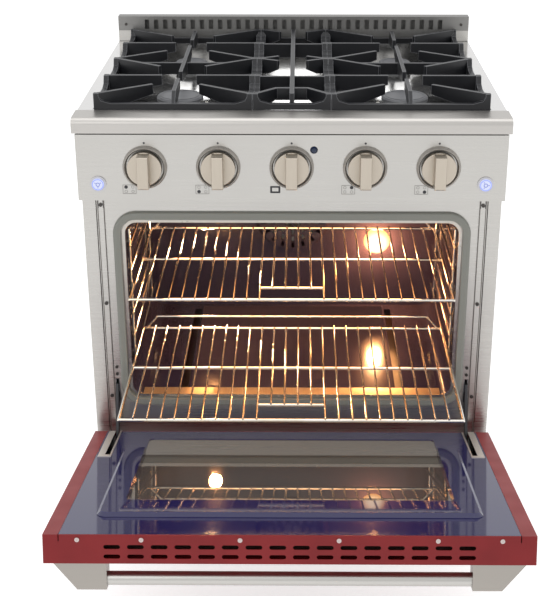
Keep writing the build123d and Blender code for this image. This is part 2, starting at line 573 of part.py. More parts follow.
# ---- cooktop ------------------------------------------------------------------------------
def cooktop():
    pan_y = (10.0, BODY_DEPTH - GUARD_DEPTH)
    pan = block((-HALF, HALF), pan_y, (RIM_Z - SHEET, RIM_Z))
    pan += block((-PAN_HALF - SHEET, PAN_HALF + SHEET), (PAN_Y[0] - SHEET, PAN_Y[1] + SHEET),
                 (PAN_FLOOR_Z - SHEET, RIM_Z))
    pan -= block((-PAN_HALF, PAN_HALF), PAN_Y, (PAN_FLOOR_Z, RIM_Z + 1))
    for _, side in SIDES:
        pan += block(mirrored(side, (INNER_HALF, HALF)), pan_y, (SIDE_TOP_Z, RIM_Z))
    for x, y, _ in burner_places():
        pan -= rod_z(x, y, (PAN_FLOOR_Z - 5, PAN_FLOOR_Z + 5), 21)
    pieces["cooktop_pan"] = pan

    outer_half = HALF + LEDGE_OVERHANG
    ledge = block((-outer_half, outer_half), (LEDGE_FRONT_Y, 10), (LEDGE_BOTTOM_Z, RIM_Z))
    front_edges = ledge.edges().filter_by(Axis.X).sort_by(Axis.Y)[:2].sort_by(Axis.Z)
    ledge = fillet(front_edges[-1], 11.0)
    inside = block((-outer_half + SHEET, outer_half - SHEET), (LEDGE_FRONT_Y + SHEET, 11),
                   (LEDGE_BOTTOM_Z + SHEET, RIM_Z - SHEET))
    inner_edges = inside.edges().filter_by(Axis.X).sort_by(Axis.Y)[:2].sort_by(Axis.Z)
    inside = fillet(inner_edges[-1], 9.5)
    ledge -= inside
    ledge -= block((-outer_half + SHEET, outer_half - SHEET), (PANEL_FACE_Y, 11),
                   (LEDGE_BOTTOM_Z - 1, LEDGE_BOTTOM_Z + SHEET + 1))
    pieces["landing_ledge"] = ledge


def backguard():
    """The low vent trim behind the grates, with its row of slots."""
    top = GUARD_TOP_Z
    front = BODY_DEPTH - GUARD_DEPTH
    guard = block((-HALF, HALF), (front, BODY_DEPTH), (SIDE_TOP_Z, top))
    guard -= block((-INNER_HALF, INNER_HALF), (front + SHEET, BODY_DEPTH - SHEET),
                   (SIDE_TOP_Z - 1, top - SHEET))
    slots = []
    count = int((HALF - 60) / GUARD_SLOT_PITCH)
    for index in range(-count, count + 1):
        x = index * GUARD_SLOT_PITCH
        slots.append(block((x - 4.75, x + 4.75), (front - 1, front + 3), (top - 27, top - 7)))
    for _, side in SIDES:
        slots.append(rod_y(side * GUARD_SCREW_X, (front - 1, front + 3), GUARD_SCREW_Z, 3.0))
    pieces["backguard"] = guard.cut(*slots)


def burner_places():
    """Centre and cap radius of each sealed burner."""
    places = []
    for y, radius in zip(CELL_Y, (FRONT_CAP_RADIUS, REAR_CAP_RADIUS)):
        for _, side in SIDES:
            places.append((side * SIDE_GRATE_X, y, radius))
    return places


def burners():
    heads, caps = [], []
    for x, y, radius in burner_places():
        head = radius - 7
        base = turned_up([(0, TUBE_Z + 14), (20.5, TUBE_Z + 14), (20.5, PAN_FLOOR_Z), (head + 2, PAN_FLOOR_Z),
                          (head, PAN_FLOOR_Z + 5), (head, CAP_TOP_Z - 8), (0, CAP_TOP_Z - 8)], x, y)
        ports = []
        for index in range(24):
            port = block((head - 3, head + 3), (-0.9, 0.9), (CAP_TOP_Z - 12, CAP_TOP_Z - 7))
            ports.append(Pos(x, y, 0) * Rot(0, 0, 15.0 * index) * port)
        base = base.cut(*ports)
        base -= rod_z(x, y, (TUBE_Z + 13, TUBE_Z + 24), 9)
        heads.append(base)
        cap = turned_up([(0, CAP_TOP_Z - 8), (radius, CAP_TOP_Z - 8), (radius, CAP_TOP_Z - 3),
                         (radius - 3, CAP_TOP_Z), (0, CAP_TOP_Z)], x, y)
        caps.append(cap)
        reach = head + 8
        heads.append(rod_z(x + reach * 0.707, y - reach * 0.707, (PAN_FLOOR_Z, CAP_TOP_Z - 9), 2.5))
    pieces["burner_heads"] = group(heads)
    pieces["burner_caps"] = group(caps)


def finger(start, end, rise=0.0):
    """A grate bar from its root to its tip: a deep web that tapers in height towards the tip.

    Rise is the length over which its top climbs from a low outer bar to the full height.
    """
    dx, dy = end[0] - start[0], end[1] - start[1]
    length = math.hypot(dx, dy)
    outline = [(0, GRATE_LOW_Z), (length * 0.55, GRATE_LOW_Z + 3), (length, GRATE_LOW_Z + 12),
               (length, GRATE_TOP_Z), (rise, GRATE_TOP_Z)]
    if rise:
        outline.append((0, GRATE_RAIL_Z))
    face = make_face(Plane.XZ * Polyline(*outline, close=True))
    web = extrude(face, GRATE_BAR / 2 - 1, both=True)
    angle = math.degrees(math.atan2(dy, dx))
    return Pos(start[0], start[1], 0) * Rot(0, 0, angle) * web


def grate_rail(limits, roots):
    """Outline of an outer bar: low, and swept up to the full height where each bar roots in it."""
    outline = [(limits[0], GRATE_LOW_Z)]
    for root in roots:
        for step, z in ((-30, GRATE_RAIL_Z), (-13, GRATE_RAIL_Z + 5), (-6, GRATE_TOP_Z),
                        (6, GRATE_TOP_Z), (13, GRATE_RAIL_Z + 5), (30, GRATE_RAIL_Z)):
            if limits[0] < root + step < limits[1]:
                outline.append((root + step, z))
            elif root in limits and step in (-6, 6):
                outline.append((root, GRATE_TOP_Z))
    return Polyline(*outline, (limits[1], GRATE_LOW_Z), close=True)


def grate_frame(x, half):
    """Outer bars of a grate and the four feet that stand in the pan."""
    y_low, y_high = GRATE_Y
    side_roots = [y_low, CELL_Y[0], (y_low + y_high) / 2, CELL_Y[1], y_high]
    side_face = make_face(Plane.YZ * grate_rail(GRATE_Y, side_roots))
    cross_face = make_face(Plane.XZ * grate_rail((-half, half), (-half, half)))
    ring = Pos(x - half, 0, 0) * extrude(side_face, GRATE_BAR, dir=(1, 0, 0))
    ring += Pos(x + half - GRATE_BAR, 0, 0) * extrude(side_face, GRATE_BAR, dir=(1, 0, 0))
    for y in (y_low, y_high - GRATE_BAR):
        ring += Pos(x, y, 0) * extrude(cross_face, GRATE_BAR, dir=(0, 1, 0))
    for foot_x in (x - half, x + half - GRATE_BAR):
        for foot_y in (y_low, y_high - GRATE_BAR):
            ring += block((foot_x, foot_x + GRATE_BAR), (foot_y, foot_y + GRATE_BAR),
                          (PAN_FLOOR_Z, GRATE_LOW_Z + 1))
    return ring


def side_grate(name, x):
    half = SIDE_GRATE / 2
    inner = half - GRATE_BAR / 2
    y_low, y_high = GRATE_Y[0] + GRATE_BAR / 2, GRATE_Y[1] - GRATE_BAR / 2
    middle = (y_low + y_high) / 2
    shape = grate_frame(x, half)
    shape += block((x - inner, x + inner), (middle - 3.5, middle + 3.5), (GRATE_LOW_Z - 2, GRATE_TOP_Z - 9))
    bars = []
    for cell, (near, far) in zip(CELL_Y, ((y_low, middle), (middle, y_high))):
        for side in (-1, 1):
            bars.append(finger((x + side * inner, cell), (x + side * 32, cell)))
            for corner_y in (near, far):
                toward = 1 if corner_y == near else -1
                tip = (x + side * (inner - 92), corner_y + toward * 66)
                bars.append(finger((x + side * inner, corner_y), tip))
        bars.append(finger((x, near), (x, cell - 26), 18.0 if near == y_low else 0.0))
        bars.append(finger((x, far), (x, cell + 26), 18.0 if far == y_high else 0.0))
    pieces[name] = shape.fuse(*bars)


def centre_grate():
    half = CENTRE_GRATE / 2
    inner = half - GRATE_BAR / 2
    y_low, y_high = GRATE_Y[0] + GRATE_BAR / 2, GRATE_Y[1] - GRATE_BAR / 2
    middle = (y_low + y_high) / 2
    shape = grate_frame(0, half)
    shape += block((-4, 4), (y_low, y_high), (GRATE_LOW_Z + 2, GRATE_TOP_Z))
    bars = []
    for y in CELL_Y:
        bars.append(block((-inner, inner), (y - 3.5, y + 3.5), (GRATE_LOW_Z, GRATE_TOP_Z - 2)))
    bars.append(block((-30, 30), (y_low + 36.5, y_low + 43.5), (GRATE_LOW_Z + 8, GRATE_TOP_Z)))
    for side in (-1, 1):
        bars.append(finger((side * inner, middle), (side * 28, middle + 20)))
        bars.append(finger((side * inner, middle), (side * 28, middle - 20)))
        bars.append(finger((side * inner, y_high), (side * 28, y_high - 24)))
        bars.append(finger((side * inner, y_low), (side * 28, y_low + 40)))
    pieces["grate_centre"] = shape.fuse(*bars)


# ---- controls and gas ---------------------------------------------------------------------
def control_panel():
    face = (PANEL_FACE_Y, PANEL_FACE_Y + SHEET)
    panel = block((-HALF, HALF), face, PANEL_Z)
    for _, side in SIDES:
        panel += block(mirrored(side, (INNER_HALF, HALF)), (PANEL_FACE_Y, 0), PANEL_Z)
    panel += block((-HALF, HALF), (PANEL_FACE_Y, 0), (PANEL_Z[0], PANEL_Z[0] + SHEET))
    for _, x in knob_places():
        panel -= rod_y(x, (PANEL_FACE_Y - 1, PANEL_FACE_Y + 3), KNOB_Z, 6)
    for _, side in SIDES:
        panel -= rod_y(side * BUTTON_X, (PANEL_FACE_Y - 1, PANEL_FACE_Y + 3), BUTTON_Z, 13.2)
    panel -= rod_y(SIGNAL_LAMP[0], (PANEL_FACE_Y - 1, PANEL_FACE_Y + 3), SIGNAL_LAMP[1], 6.8)
    pieces["control_panel"] = panel

    housings = []
    for name, side in SIDES:
        x = side * BUTTON_X
        housing = rod_y(x, (PANEL_FACE_Y + SHEET, PANEL_FACE_Y + 22), BUTTON_Z, 15)
        housing += rod_y(x, (PANEL_FACE_Y - 2, PANEL_FACE_Y + 4), BUTTON_Z, 12.9)
        housing += rod_y(x, (PANEL_FACE_Y - 2, PANEL_FACE_Y), BUTTON_Z, 14.5)
        housing -= rod_y(x, (PANEL_FACE_Y - 3, PANEL_FACE_Y + 12), BUTTON_Z, BUTTON_RADIUS + 0.3)
        housings.append(housing)
        button = rod_y(x, (PANEL_FACE_Y - 5, PANEL_FACE_Y + 8), BUTTON_Z, BUTTON_RADIUS)
        button = fillet(button.edges().sort_by(Axis.Y)[0], 1.5)
        pieces[f"push_button_{name}"] = button
    pieces["switch_housings"] = group(housings)
    lamp = turned([(0, -39), (4, -38.4), (6.5, PANEL_FACE_Y), (6.5, -20), (0, -20)],
                  SIGNAL_LAMP[0], SIGNAL_LAMP[1])
    pieces["signal_lamp"] = lamp


def knob_places():
    names = ("front_left", "rear_left", "oven", "rear_right", "front_right")
    return [(name, (index - 2) * KNOB_PITCH) for index, name in enumerate(names)]


def knobs():
    face = PANEL_FACE_Y
    bezels, valves = [], []
    for name, x in knob_places():
        bezels.append(turned([(33, face), (BEZEL_RADIUS, face), (BEZEL_RADIUS, face - 3),
                              (BEZEL_RADIUS - 3, face - 8), (35.5, face - 8), (33, face - 4)],
                             x, KNOB_Z))

        disc = rod_y(x, (face - 14, face - 6), KNOB_Z, KNOB_RADIUS)
        disc = fillet(disc.edges().sort_by(Axis.Y)[0], 1.2)
        grip = block((x - 10, x + 10), (face - 40, face - 13), (KNOB_Z - 29, KNOB_Z + 29))
        grip = fillet(grip.faces().sort_by(Axis.Y)[0].edges(), 2.0)
        knob = disc + grip
        knob -= rod_y(x, (face - 32, face - 5), KNOB_Z, PIN_RADIUS + RUNNING)
        stem = rod_y(x, (face - 27, face + 23), KNOB_Z, PIN_RADIUS)
        if name == "oven":
            pieces["knob_oven"] = knob + rod_y(x, (face - 33, face + 23), KNOB_Z, PIN_RADIUS)
        else:
            pieces[f"knob_{name}"] = knob
            pieces[f"valve_stem_{name}"] = stem

        half, height = (24, 60) if name == "oven" else (15, 38)
        valve = block((x - half, x + half), (face + 5, face + 31), (KNOB_Z - height / 2, KNOB_Z + height / 2))
        valve += rod_y(x, (face + SHEET, face + 6), KNOB_Z, 12)
        valve += rod_y(x, (face + 30, MANIFOLD_Y - 12), KNOB_Z, 6)
        valve -= rod_y(x, (face, face + 25), KNOB_Z, PIN_RADIUS + RUNNING)
        valves.append(valve)
    pieces["gas_valves"] = group(valves)
    pieces["knob_bezels"] = group(bezels)


def gas_supply():
    manifold = rod_x((-LEG_X, LEG_X), MANIFOLD_Y, KNOB_Z, 10)
    for x in (-LEG_X - 6, LEG_X):
        manifold += rod_x((x, x + 6), MANIFOLD_Y, KNOB_Z, 14)
    for _, x in knob_places():
        manifold += rod_y(x, (MANIFOLD_Y - 12, MANIFOLD_Y), KNOB_Z, 8)

    tubes = [manifold]
    valve_x = dict(knob_places())
    names = ("front_left", "front_right", "rear_left", "rear_right")
    for name, (x, y, _) in zip(names, burner_places()):
        start = (valve_x[name], -18.0, KNOB_Z + 22.0)
        turn_y = 100.0 if name.startswith("rear") else 75.0
        tube = tube_run([start, (start[0], -18.0, TUBE_Z), (start[0], turn_y - 25, TUBE_Z),
                         (x, turn_y, TUBE_Z), (x, y, TUBE_Z), (x, y, TUBE_Z + 9)], 3.0)
        tubes.append(tube + rod_z(start[0], start[1], (KNOB_Z + 19, KNOB_Z + 22), 3.0))
    pieces["gas_pipes"] = group(tubes)

    regulator = rod_y(GAS_X, (BODY_DEPTH - 60, BODY_DEPTH - 25), GAS_Z, 28)
    regulator += rod_y(GAS_X, (BODY_DEPTH - 30, BODY_DEPTH - 6), GAS_Z, 13)
    regulator += rod_y(GAS_X, (BODY_DEPTH - SHEET - 5, BODY_DEPTH - SHEET), GAS_Z, 20)
    regulator += rod_y(GAS_X, (BODY_DEPTH - 10, BODY_DEPTH + 18), GAS_Z, GAS_RADIUS)
    regulator -= rod_y(GAS_X, (BODY_DEPTH - 20, BODY_DEPTH + 19), GAS_Z, 7.5)
    pieces["gas_regulator"] = regulator
    gland = rod_y(-GAS_X, (BODY_DEPTH, BODY_DEPTH + 9), GAS_Z, 15)
    gland += rod_y(-GAS_X, (BODY_DEPTH - 20, BODY_DEPTH + 1), GAS_Z, 10.5)
    gland -= rod_y(-GAS_X, (BODY_DEPTH - 21, BODY_DEPTH + 10), GAS_Z, 6)
    pieces["power_inlet_gland"] = gland


cabinet()
front_frame()
oven_liner()
convection_fan()
rack_guides()
rack("upper_rack", *UPPER_RACK)
rack("lower_rack", *LOWER_RACK)
door_shell()
door_liner()
door_inside()
door_handle()
door_hinges()
cooktop()
backguard()
burners()
side_grate("grate_left", -SIDE_GRATE_X)
side_grate("grate_right", SIDE_GRATE_X)
centre_grate()
control_panel()
knobs()
gas_supply()

boxes = [shape.bounding_box() for shape in pieces.values()]
shift = -(min(box.min.Y for box in boxes) + max(box.max.Y for box in boxes)) / 2
os.makedirs("parts", exist_ok=True)
for name, shape in pieces.items():
    export_step(Pos(0, shift, 0) * shape, f"parts/{name}.step")
print(len(pieces), "pieces; shift along Y", round(shift, 3))
print("hinge line Y", round(HINGE_Y + shift, 3), "Z", HINGE_Z)
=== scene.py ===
"""Dressed model of a freestanding gas range: finishes, small fittings, studio light and camera.

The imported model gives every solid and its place. This file dresses each solid in the finish of
its real material, adds the small fittings that the solids leave out, and sets the studio.
Lengths are millimetres unless a name says otherwise. X runs to the right, Y back and Z up.
"""

import json
import logging
import math
from dataclasses import dataclass, field
from enum import Enum
from typing import Any, Mapping, Sequence

import bmesh
import bpy
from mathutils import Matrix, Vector


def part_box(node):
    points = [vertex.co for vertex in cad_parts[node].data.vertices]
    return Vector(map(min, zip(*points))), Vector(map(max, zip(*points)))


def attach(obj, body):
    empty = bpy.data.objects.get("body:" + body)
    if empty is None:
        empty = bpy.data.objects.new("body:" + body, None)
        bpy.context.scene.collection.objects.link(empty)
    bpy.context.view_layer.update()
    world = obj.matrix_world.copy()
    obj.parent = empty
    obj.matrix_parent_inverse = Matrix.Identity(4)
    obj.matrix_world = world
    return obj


logging.basicConfig(level=logging.INFO, format="%(message)s")
LOG = logging.getLogger("range")

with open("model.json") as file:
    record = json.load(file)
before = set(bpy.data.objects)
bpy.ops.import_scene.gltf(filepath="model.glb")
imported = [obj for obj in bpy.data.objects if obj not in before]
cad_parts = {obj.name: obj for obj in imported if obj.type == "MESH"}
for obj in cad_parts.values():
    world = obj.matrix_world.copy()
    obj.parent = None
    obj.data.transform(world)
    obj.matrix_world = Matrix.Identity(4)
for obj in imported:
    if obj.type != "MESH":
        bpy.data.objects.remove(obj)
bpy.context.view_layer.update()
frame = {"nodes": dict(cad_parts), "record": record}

MM = 0.001
# How far a mark or a clip reaches into the sheet under it, so that no gap shows.
SINK = 0.02
# A point in an upright plane, or a pair of measures.
Point = tuple[float, float]


# ---- colour and node helpers ----------------------------------------------------------------
def linear(colour: str) -> tuple[float, float, float, float]:
    """Turn an sRGB hex colour into linear RGBA.

    Args:
        colour: The colour as "#RRGGBB".

    Returns:
        The linear red, green, blue and an alpha of 1.
    """
    parts = [int(colour[i:i + 2], 16) / 255 for i in (1, 3, 5)]
    scaled = [c / 12.92 if c <= 0.04045 else ((c + 0.055) / 1.055) ** 2.4 for c in parts]
    return (scaled[0], scaled[1], scaled[2], 1.0)


def add(tree: bpy.types.NodeTree, kind: str, settings: Mapping[str, Any] | None = None,
        links: Mapping[str, bpy.types.NodeSocket] | None = None) -> bpy.types.Node:
    """Add a node, set it up and link its inputs.

    Args:
        tree: The node tree that gets the node.
        kind: Blender's name of the node type.
        settings: Values by attribute name, or by input name or input number.
        links: Output sockets by the name or number of the input that each one feeds.

    Returns:
        The new node.
    """
    node = tree.nodes.new(kind)
    for key, value in (settings or {}).items():
        if isinstance(key, str) and hasattr(node, key):
            setattr(node, key, value)
        else:
            node.inputs[key].default_value = value
    for key, socket in (links or {}).items():
        tree.links.new(socket, node.inputs[key])
    return node


def blank_tree(owner: bpy.types.Material | bpy.types.World) -> bpy.types.NodeTree:
    """Return the emptied node tree of a material or a world.

    Args:
        owner: The material or the world.

    Returns:
        Its node tree, with no nodes.
    """
    owner.use_nodes = True
    owner.node_tree.nodes.clear()
    return owner.node_tree


@dataclass(frozen=True)
class Surface:
    """A material being made: its nodes, its shader and the point that is shaded.

    Attributes:
        tree: The material's node tree.
        shader: Its Principled shader.
        place: The point on the piece, in metres.
    """

    tree: bpy.types.NodeTree
    shader: bpy.types.Node
    place: bpy.types.NodeSocket

    def share(self) -> bpy.types.NodeSocket:
        """Return the point as shares of the piece's width, depth and height."""
        return add(self.tree, "ShaderNodeTexCoord").outputs["Generated"]

    def noise(self, size: float, rounds: float = 3.0) -> bpy.types.NodeSocket:
        """Return a cloudy pattern from 0 to 1.

        Args:
            size: Size of its patches.
            rounds: Finer layers that it adds up.

        Returns:
            The pattern.
        """
        return add(self.tree, "ShaderNodeTexNoise",
                   {"Scale": 1 / (size * MM), "Detail": rounds, "Roughness": 0.55},
                   {"Vector": self.place}).outputs[0]

    def remap(self, value: bpy.types.NodeSocket, low: float, high: float, start: float,
              end: float) -> bpy.types.NodeSocket:
        """Stretch a value's range start..end to low..high.

        Args:
            value: The value.
            low: Result where the value is start.
            high: Result where the value is end.
            start: First end of the value's range.
            end: Other end of the value's range.

        Returns:
            The stretched value.
        """
        return add(self.tree, "ShaderNodeMapRange",
                   {"From Min": start, "From Max": end, "To Min": low, "To Max": high},
                   {"Value": value}).outputs[0]

    def roughen(self, value: bpy.types.NodeSocket, middle: float, spread: float,
                start: float = 0.3, end: float = 0.7) -> None:
        """Let the roughness follow a value.

        Args:
            value: The value.
            middle: The finish's typical roughness.
            spread: How far the roughness swings to both sides of it.
            start: Value where the roughness is least.
            end: Value where it is greatest.
        """
        swing = self.remap(value, middle - spread, middle + spread, start, end)
        self.tree.links.new(swing, self.shader.inputs["Roughness"])

    def blend(self, value: bpy.types.NodeSocket, colours: Sequence[str], start: float,
              end: float, socket: str = "Base Color") -> None:
        """Blend between two colours along a value.

        Args:
            value: The value.
            colours: The colour at start and the colour at end.
            start: Value where the first colour stands alone.
            end: Value where the second one does.
            socket: The shader's input that gets the blend.
        """
        ramp = add(self.tree, "ShaderNodeValToRGB", links={0: value})
        for i, (colour, spot) in enumerate(zip(colours, (start, end))):
            ramp.color_ramp.elements[i].position = spot
            ramp.color_ramp.elements[i].color = linear(colour)
        self.tree.links.new(ramp.outputs[0], self.shader.inputs[socket])

    def bump(self, value: bpy.types.NodeSocket, height: float, strength: float = 0.5) -> None:
        """Raise the surface where a value is high.

        Args:
            value: The value, from 0 to 1.
            height: Height where it is 1.
            strength: Share of that height that the eye gets.
        """
        node = add(self.tree, "ShaderNodeBump", {"Strength": strength, "Distance": height * MM},
                   {"Height": value})
        self.tree.links.new(node.outputs[0], self.shader.inputs["Normal"])


class Grain(Enum):
    """Direction that a brushed or drawn surface's lines run in."""

    ACROSS = (1.0, 0.0, 0.0)
    UPRIGHT = (0.0, 0.0, 1.0)


# ---- finishes -------------------------------------------------------------------------------
@dataclass(frozen=True)
class Finish:
    """What every finish has: its name, its colour and how it spreads light.

    Attributes:
        name: The material's name.
        colour: sRGB hex colour.
        roughness: Typical roughness, matched to the object.
        metallic: 1 for bare metal, 0 for everything else.
        ior: Index of refraction. A metal keeps the default.
    """

    name: str
    colour: str
    roughness: float = 0.4
    metallic: float = 0.0
    ior: float = 1.5

    def build(self) -> bpy.types.Material:
        """Make the material once and return it.

        Returns:
            The material.
        """
        known = bpy.data.materials.get(self.name)
        if known is not None:
            return known
        material = bpy.data.materials.new(self.name)
        tree = blank_tree(material)
        shader = add(tree, "ShaderNodeBsdfPrincipled", {
            "Base Color": linear(self.colour), "Roughness": self.roughness,
            "Metallic": self.metallic, "IOR": self.ior})
        add(tree, "ShaderNodeOutputMaterial", links={"Surface": shader.outputs[0]})
        self.detail(Surface(tree, shader, add(tree, "ShaderNodeTexCoord").outputs["Object"]))
        return material

    def detail(self, surface: Surface) -> None:
        """Add the finish's own pattern. A plain one has a faint unevenness."""
        surface.roughen(surface.noise(9.0), self.roughness, 0.04)


@dataclass(frozen=True)
class BrushedSteel(Finish):
    """Stainless sheet ground with a belt: long fine lines that smear a reflection sideways.

    Attributes:
        grain: Direction of the lines.
        line_width: Spacing of the lines. A 180-grit belt leaves about 0.1 mm, drawn coarser so
            that it shows.
        line_length: How long a line runs before it fades.
        depth: Depth of the lines.
        cloud: Size of the soft clouds of rolled sheet.
        cloud_share: Weight of the clouds against the lines.
    """

    metallic: float = 1.0
    grain: Grain = Grain.ACROSS
    line_width: float = 0.9
    line_length: float = 260.0
    depth: float = 0.002
    cloud: float = 140.0
    cloud_share: float = 0.45

    def detail(self, surface: Surface) -> None:
        """Draw the belt lines and the clouds.

        Args:
            surface: The material being made.
        """
        scale = [1 / ((self.line_length if along else self.line_width) * MM)
                 for along in self.grain.value]
        lines = add(surface.tree, "ShaderNodeMapping", {"Scale": scale}, {"Vector": surface.place})
        streaks = add(surface.tree, "ShaderNodeTexNoise", {"Scale": 1.0, "Detail": 2.0},
                      {"Vector": lines.outputs[0]}).outputs[0]
        both = add(surface.tree, "ShaderNodeMath",
                   {"operation": "MULTIPLY_ADD", 1: self.cloud_share},
                   {0: surface.noise(self.cloud, 2.0), 2: streaks}).outputs[0]
        surface.roughen(both, self.roughness, 0.05, 0.5, 0.95)
        surface.bump(streaks, self.depth)


@dataclass(frozen=True)
class PanWithShadedWell(BrushedSteel):
    """A pressed steel pan: bright on its rim, painted darker in its well as shade under the
    grates.

    Attributes:
        rim: Colour of the rim.
        well_top: Share of the pan's height where the well's painted shade ends.
        rim_foot: Share of the pan's height where the rim's colour starts.
    """

    rim: str = "#DAD9D8"
    well_top: float = 0.35
    rim_foot: float = 0.85

    def detail(self, surface: Surface) -> None:
        """Brush the sheet and paint it darker from the rim down into the well, as shade.

        Args:
            surface: The material being made.
        """
        super().detail(surface)
        height = add(surface.tree, "ShaderNodeSeparateXYZ", links={0: surface.share()})
        # The well's darker colour is painted shade under the grates.
        surface.blend(height.outputs["Z"], (self.colour, self.rim), self.well_top, self.rim_foot)


@dataclass(frozen=True)
class BrightWire(Finish):
    """Steel wire drawn through a die and plated with chrome: bright, with faint dents.

    Attributes:
        dent: Size of a dent.
        stain: Size of a patch that oven heat has tinted.
        heat: Colour of such a patch.
    """

    metallic: float = 1.0
    dent: float = 6.0
    stain: float = 70.0
    heat: str = "#D9CDB8"

    def detail(self, surface: Surface) -> None:
        """Add the dents and the heat tint of an oven rack that has been used.

        Args:
            surface: The material being made.
        """
        dents = surface.noise(self.dent, 2.0)
        surface.roughen(dents, self.roughness, 0.04)
        surface.blend(surface.noise(self.stain, 2.0), (self.colour, self.heat), 0.42, 0.7)
        surface.bump(dents, 0.12)


@dataclass(frozen=True)
class Enamel(Finish):
    """Vitreous enamel: glass fired onto steel, glossy, with a slight orange peel.

    Attributes:
        fleck: Colour of the fine flecks in the glass.
        fleck_size: Size of a fleck. Real flecks are about 0.3 mm, drawn coarser to show.
        ripple: Size of the orange peel's ripples.
        peel: Height of the orange peel.
    """

    fleck: str = "#3C3C55"
    fleck_size: float = 1.4
    ripple: float = 14.0
    peel: float = 0.02

    def detail(self, surface: Surface) -> None:
        """Scatter flecks in the glass and ripple its surface.

        Args:
            surface: The material being made.
        """
        flecks = surface.noise(self.fleck_size, 1.0)
        surface.blend(flecks, (self.colour, self.fleck), 0.58, 0.74)
        surface.bump(surface.noise(self.ripple, 2.0), self.peel)


@dataclass(frozen=True)
class SprayedPaint(Finish):
    """Baked powder paint: satin, with a fine orange peel.

    Attributes:
        shade: Colour where the coat is thickest.
        cloud: Size of the coat's thick and thin patches.
        ripple: Size of the orange peel's ripples, 2 to 3 mm.
        peel: Height of the orange peel.
    """

    shade: str = "#7C2429"
    cloud: float = 60.0
    ripple: float = 2.6
    peel: float = 0.03

    def detail(self, surface: Surface) -> None:
        """Add the orange peel and the faint cloudiness of the coat.

        Args:
            surface: The material being made.
        """
        cloud = surface.noise(self.cloud, 2.0)
        surface.blend(cloud, (self.colour, self.shade), 0.35, 0.75)
        surface.roughen(cloud, self.roughness, 0.04)
        surface.bump(surface.noise(self.ripple, 1.0), self.peel)


@dataclass(frozen=True)
class CastIron(Finish):
    """Sand-cast iron under matt enamel: pitted by the sand, paler at its edges, partly where the
    enamel is rubbed thin and partly as a painted highlight.

    Attributes:
        rubbed_and_highlit: Colour of an edge, partly rubbed enamel and partly a painted highlight.
        pit: Size of the sand's pits, about 0.5 mm, drawn coarser to show.
        pit_depth: Depth of a pit.
        edge: Width of the paler edge.
    """

    rubbed_and_highlit: str = "#77787C"
    pit: float = 1.6
    pit_depth: float = 0.05
    edge: float = 1.6

    def detail(self, surface: Surface) -> None:
        """Pit the surface and paint its edges paler, as rubbed enamel and as a painted highlight.

        Args:
            surface: The material being made.
        """
        tree = surface.tree
        rounded_off = add(tree, "ShaderNodeBevel", {"samples": 8, "Radius": self.edge * MM})
        flat = add(tree, "ShaderNodeNewGeometry").outputs["Normal"]
        match = add(tree, "ShaderNodeVectorMath", {"operation": "DOT_PRODUCT"},
                    {0: rounded_off.outputs[0], 1: flat}).outputs["Value"]
        # Paler edges: partly rubbed enamel, partly a painted highlight where the edges catch the
        # light.
        rubbed_and_highlit_edges = surface.remap(match, 1.0, 0.0, 0.90, 1.0)
        surface.blend(rubbed_and_highlit_edges, (self.colour, self.rubbed_and_highlit), 0.05, 0.9)
        pits = surface.noise(self.pit, 2.0)
        surface.roughen(pits, self.roughness, 0.08)
        surface.bump(pits, self.pit_depth)


@dataclass(frozen=True)
class WovenFibre(Finish):
    """Braided glass-fibre cord: fine strands laid at a slant, matt, painted darker between the
    strands as shade.

    Attributes:
        strand: Spacing of the strands.
        slant: Turn of the strands, in radians.
        shaded_valley: Colour between the strands, darker as painted shade.
    """

    strand: float = 1.1
    slant: float = 0.6
    shaded_valley: str = "#83847C"

    def detail(self, surface: Surface) -> None:
        """Weave two sets of slanted strands, with painted shade between them.

        Args:
            surface: The material being made.
        """
        tree = surface.tree
        sets = []
        for turn in (self.slant, -self.slant):
            laid = add(tree, "ShaderNodeMapping", {"Rotation": (self.slant / 2, turn, turn)},
                       {"Vector": surface.place})
            wave = add(tree, "ShaderNodeTexWave", {
                "Scale": 1 / (self.strand * MM) / math.tau, "Distortion": 0.6},
                {"Vector": laid.outputs[0]})
            sets.append(wave.outputs["Fac"])
        weave = add(tree, "ShaderNodeMath", {"operation": "MAXIMUM"},
                    dict(enumerate(sets))).outputs[0]
        # Darker between the strands: painted shade.
        surface.blend(weave, (self.colour, self.shaded_valley), 0.8, 0.1)
        surface.bump(weave, 0.12)


@dataclass(frozen=True)
class Spangle(Finish):
    """Hot-dip galvanised sheet: flat crystals of zinc, each a slightly different grey.

    Attributes:
        crystal: Size of a crystal.
        dull: Colour of the dullest crystals.
    """

    metallic: float = 1.0
    crystal: float = 9.0
    dull: str = "#A2A6A9"

    def detail(self, surface: Surface) -> None:
        """Give each crystal its own shade and roughness.

        Args:
            surface: The material being made.
        """
        cells = add(surface.tree, "ShaderNodeTexVoronoi", {"Scale": 1 / (self.crystal * MM)},
                    {"Vector": surface.place})
        tone = add(surface.tree, "ShaderNodeSeparateColor",
                   links={0: cells.outputs["Color"]}).outputs[0]
        surface.blend(tone, (self.colour, self.dull), 0.0, 1.0)
        surface.roughen(tone, self.roughness, 0.1, 0.0, 1.0)


@dataclass(frozen=True)
class LooseWool(Finish):
    """Mineral wool: matted fibres a few millimetres long, quite matt.

    Attributes:
        shade: Colour between the fibres.
        fibre: Size of a tuft.
        loft: Height of a tuft.
    """

    shade: str = "#8E7C4B"
    fibre: float = 3.0
    loft: float = 1.2

    def detail(self, surface: Surface) -> None:
        """Mat the fibres.

        Args:
            surface: The material being made.
        """
        fibres = surface.noise(self.fibre, 6.0)
        surface.blend(fibres, (self.colour, self.shade), 0.35, 0.65)
        surface.bump(fibres, self.loft, 1.0)


@dataclass(frozen=True)
class CoatedGlass(Finish):
    """Float glass, coated or tinted: dark, with the faint waviness of toughening.

    Attributes:
        wave: Length of the waves.
        swell: Height of the waves.
    """

    wave: float = 90.0
    swell: float = 0.05

    def detail(self, surface: Surface) -> None:
        """Add the waviness."""
        surface.bump(surface.noise(self.wave, 1.0), self.swell, 0.4)


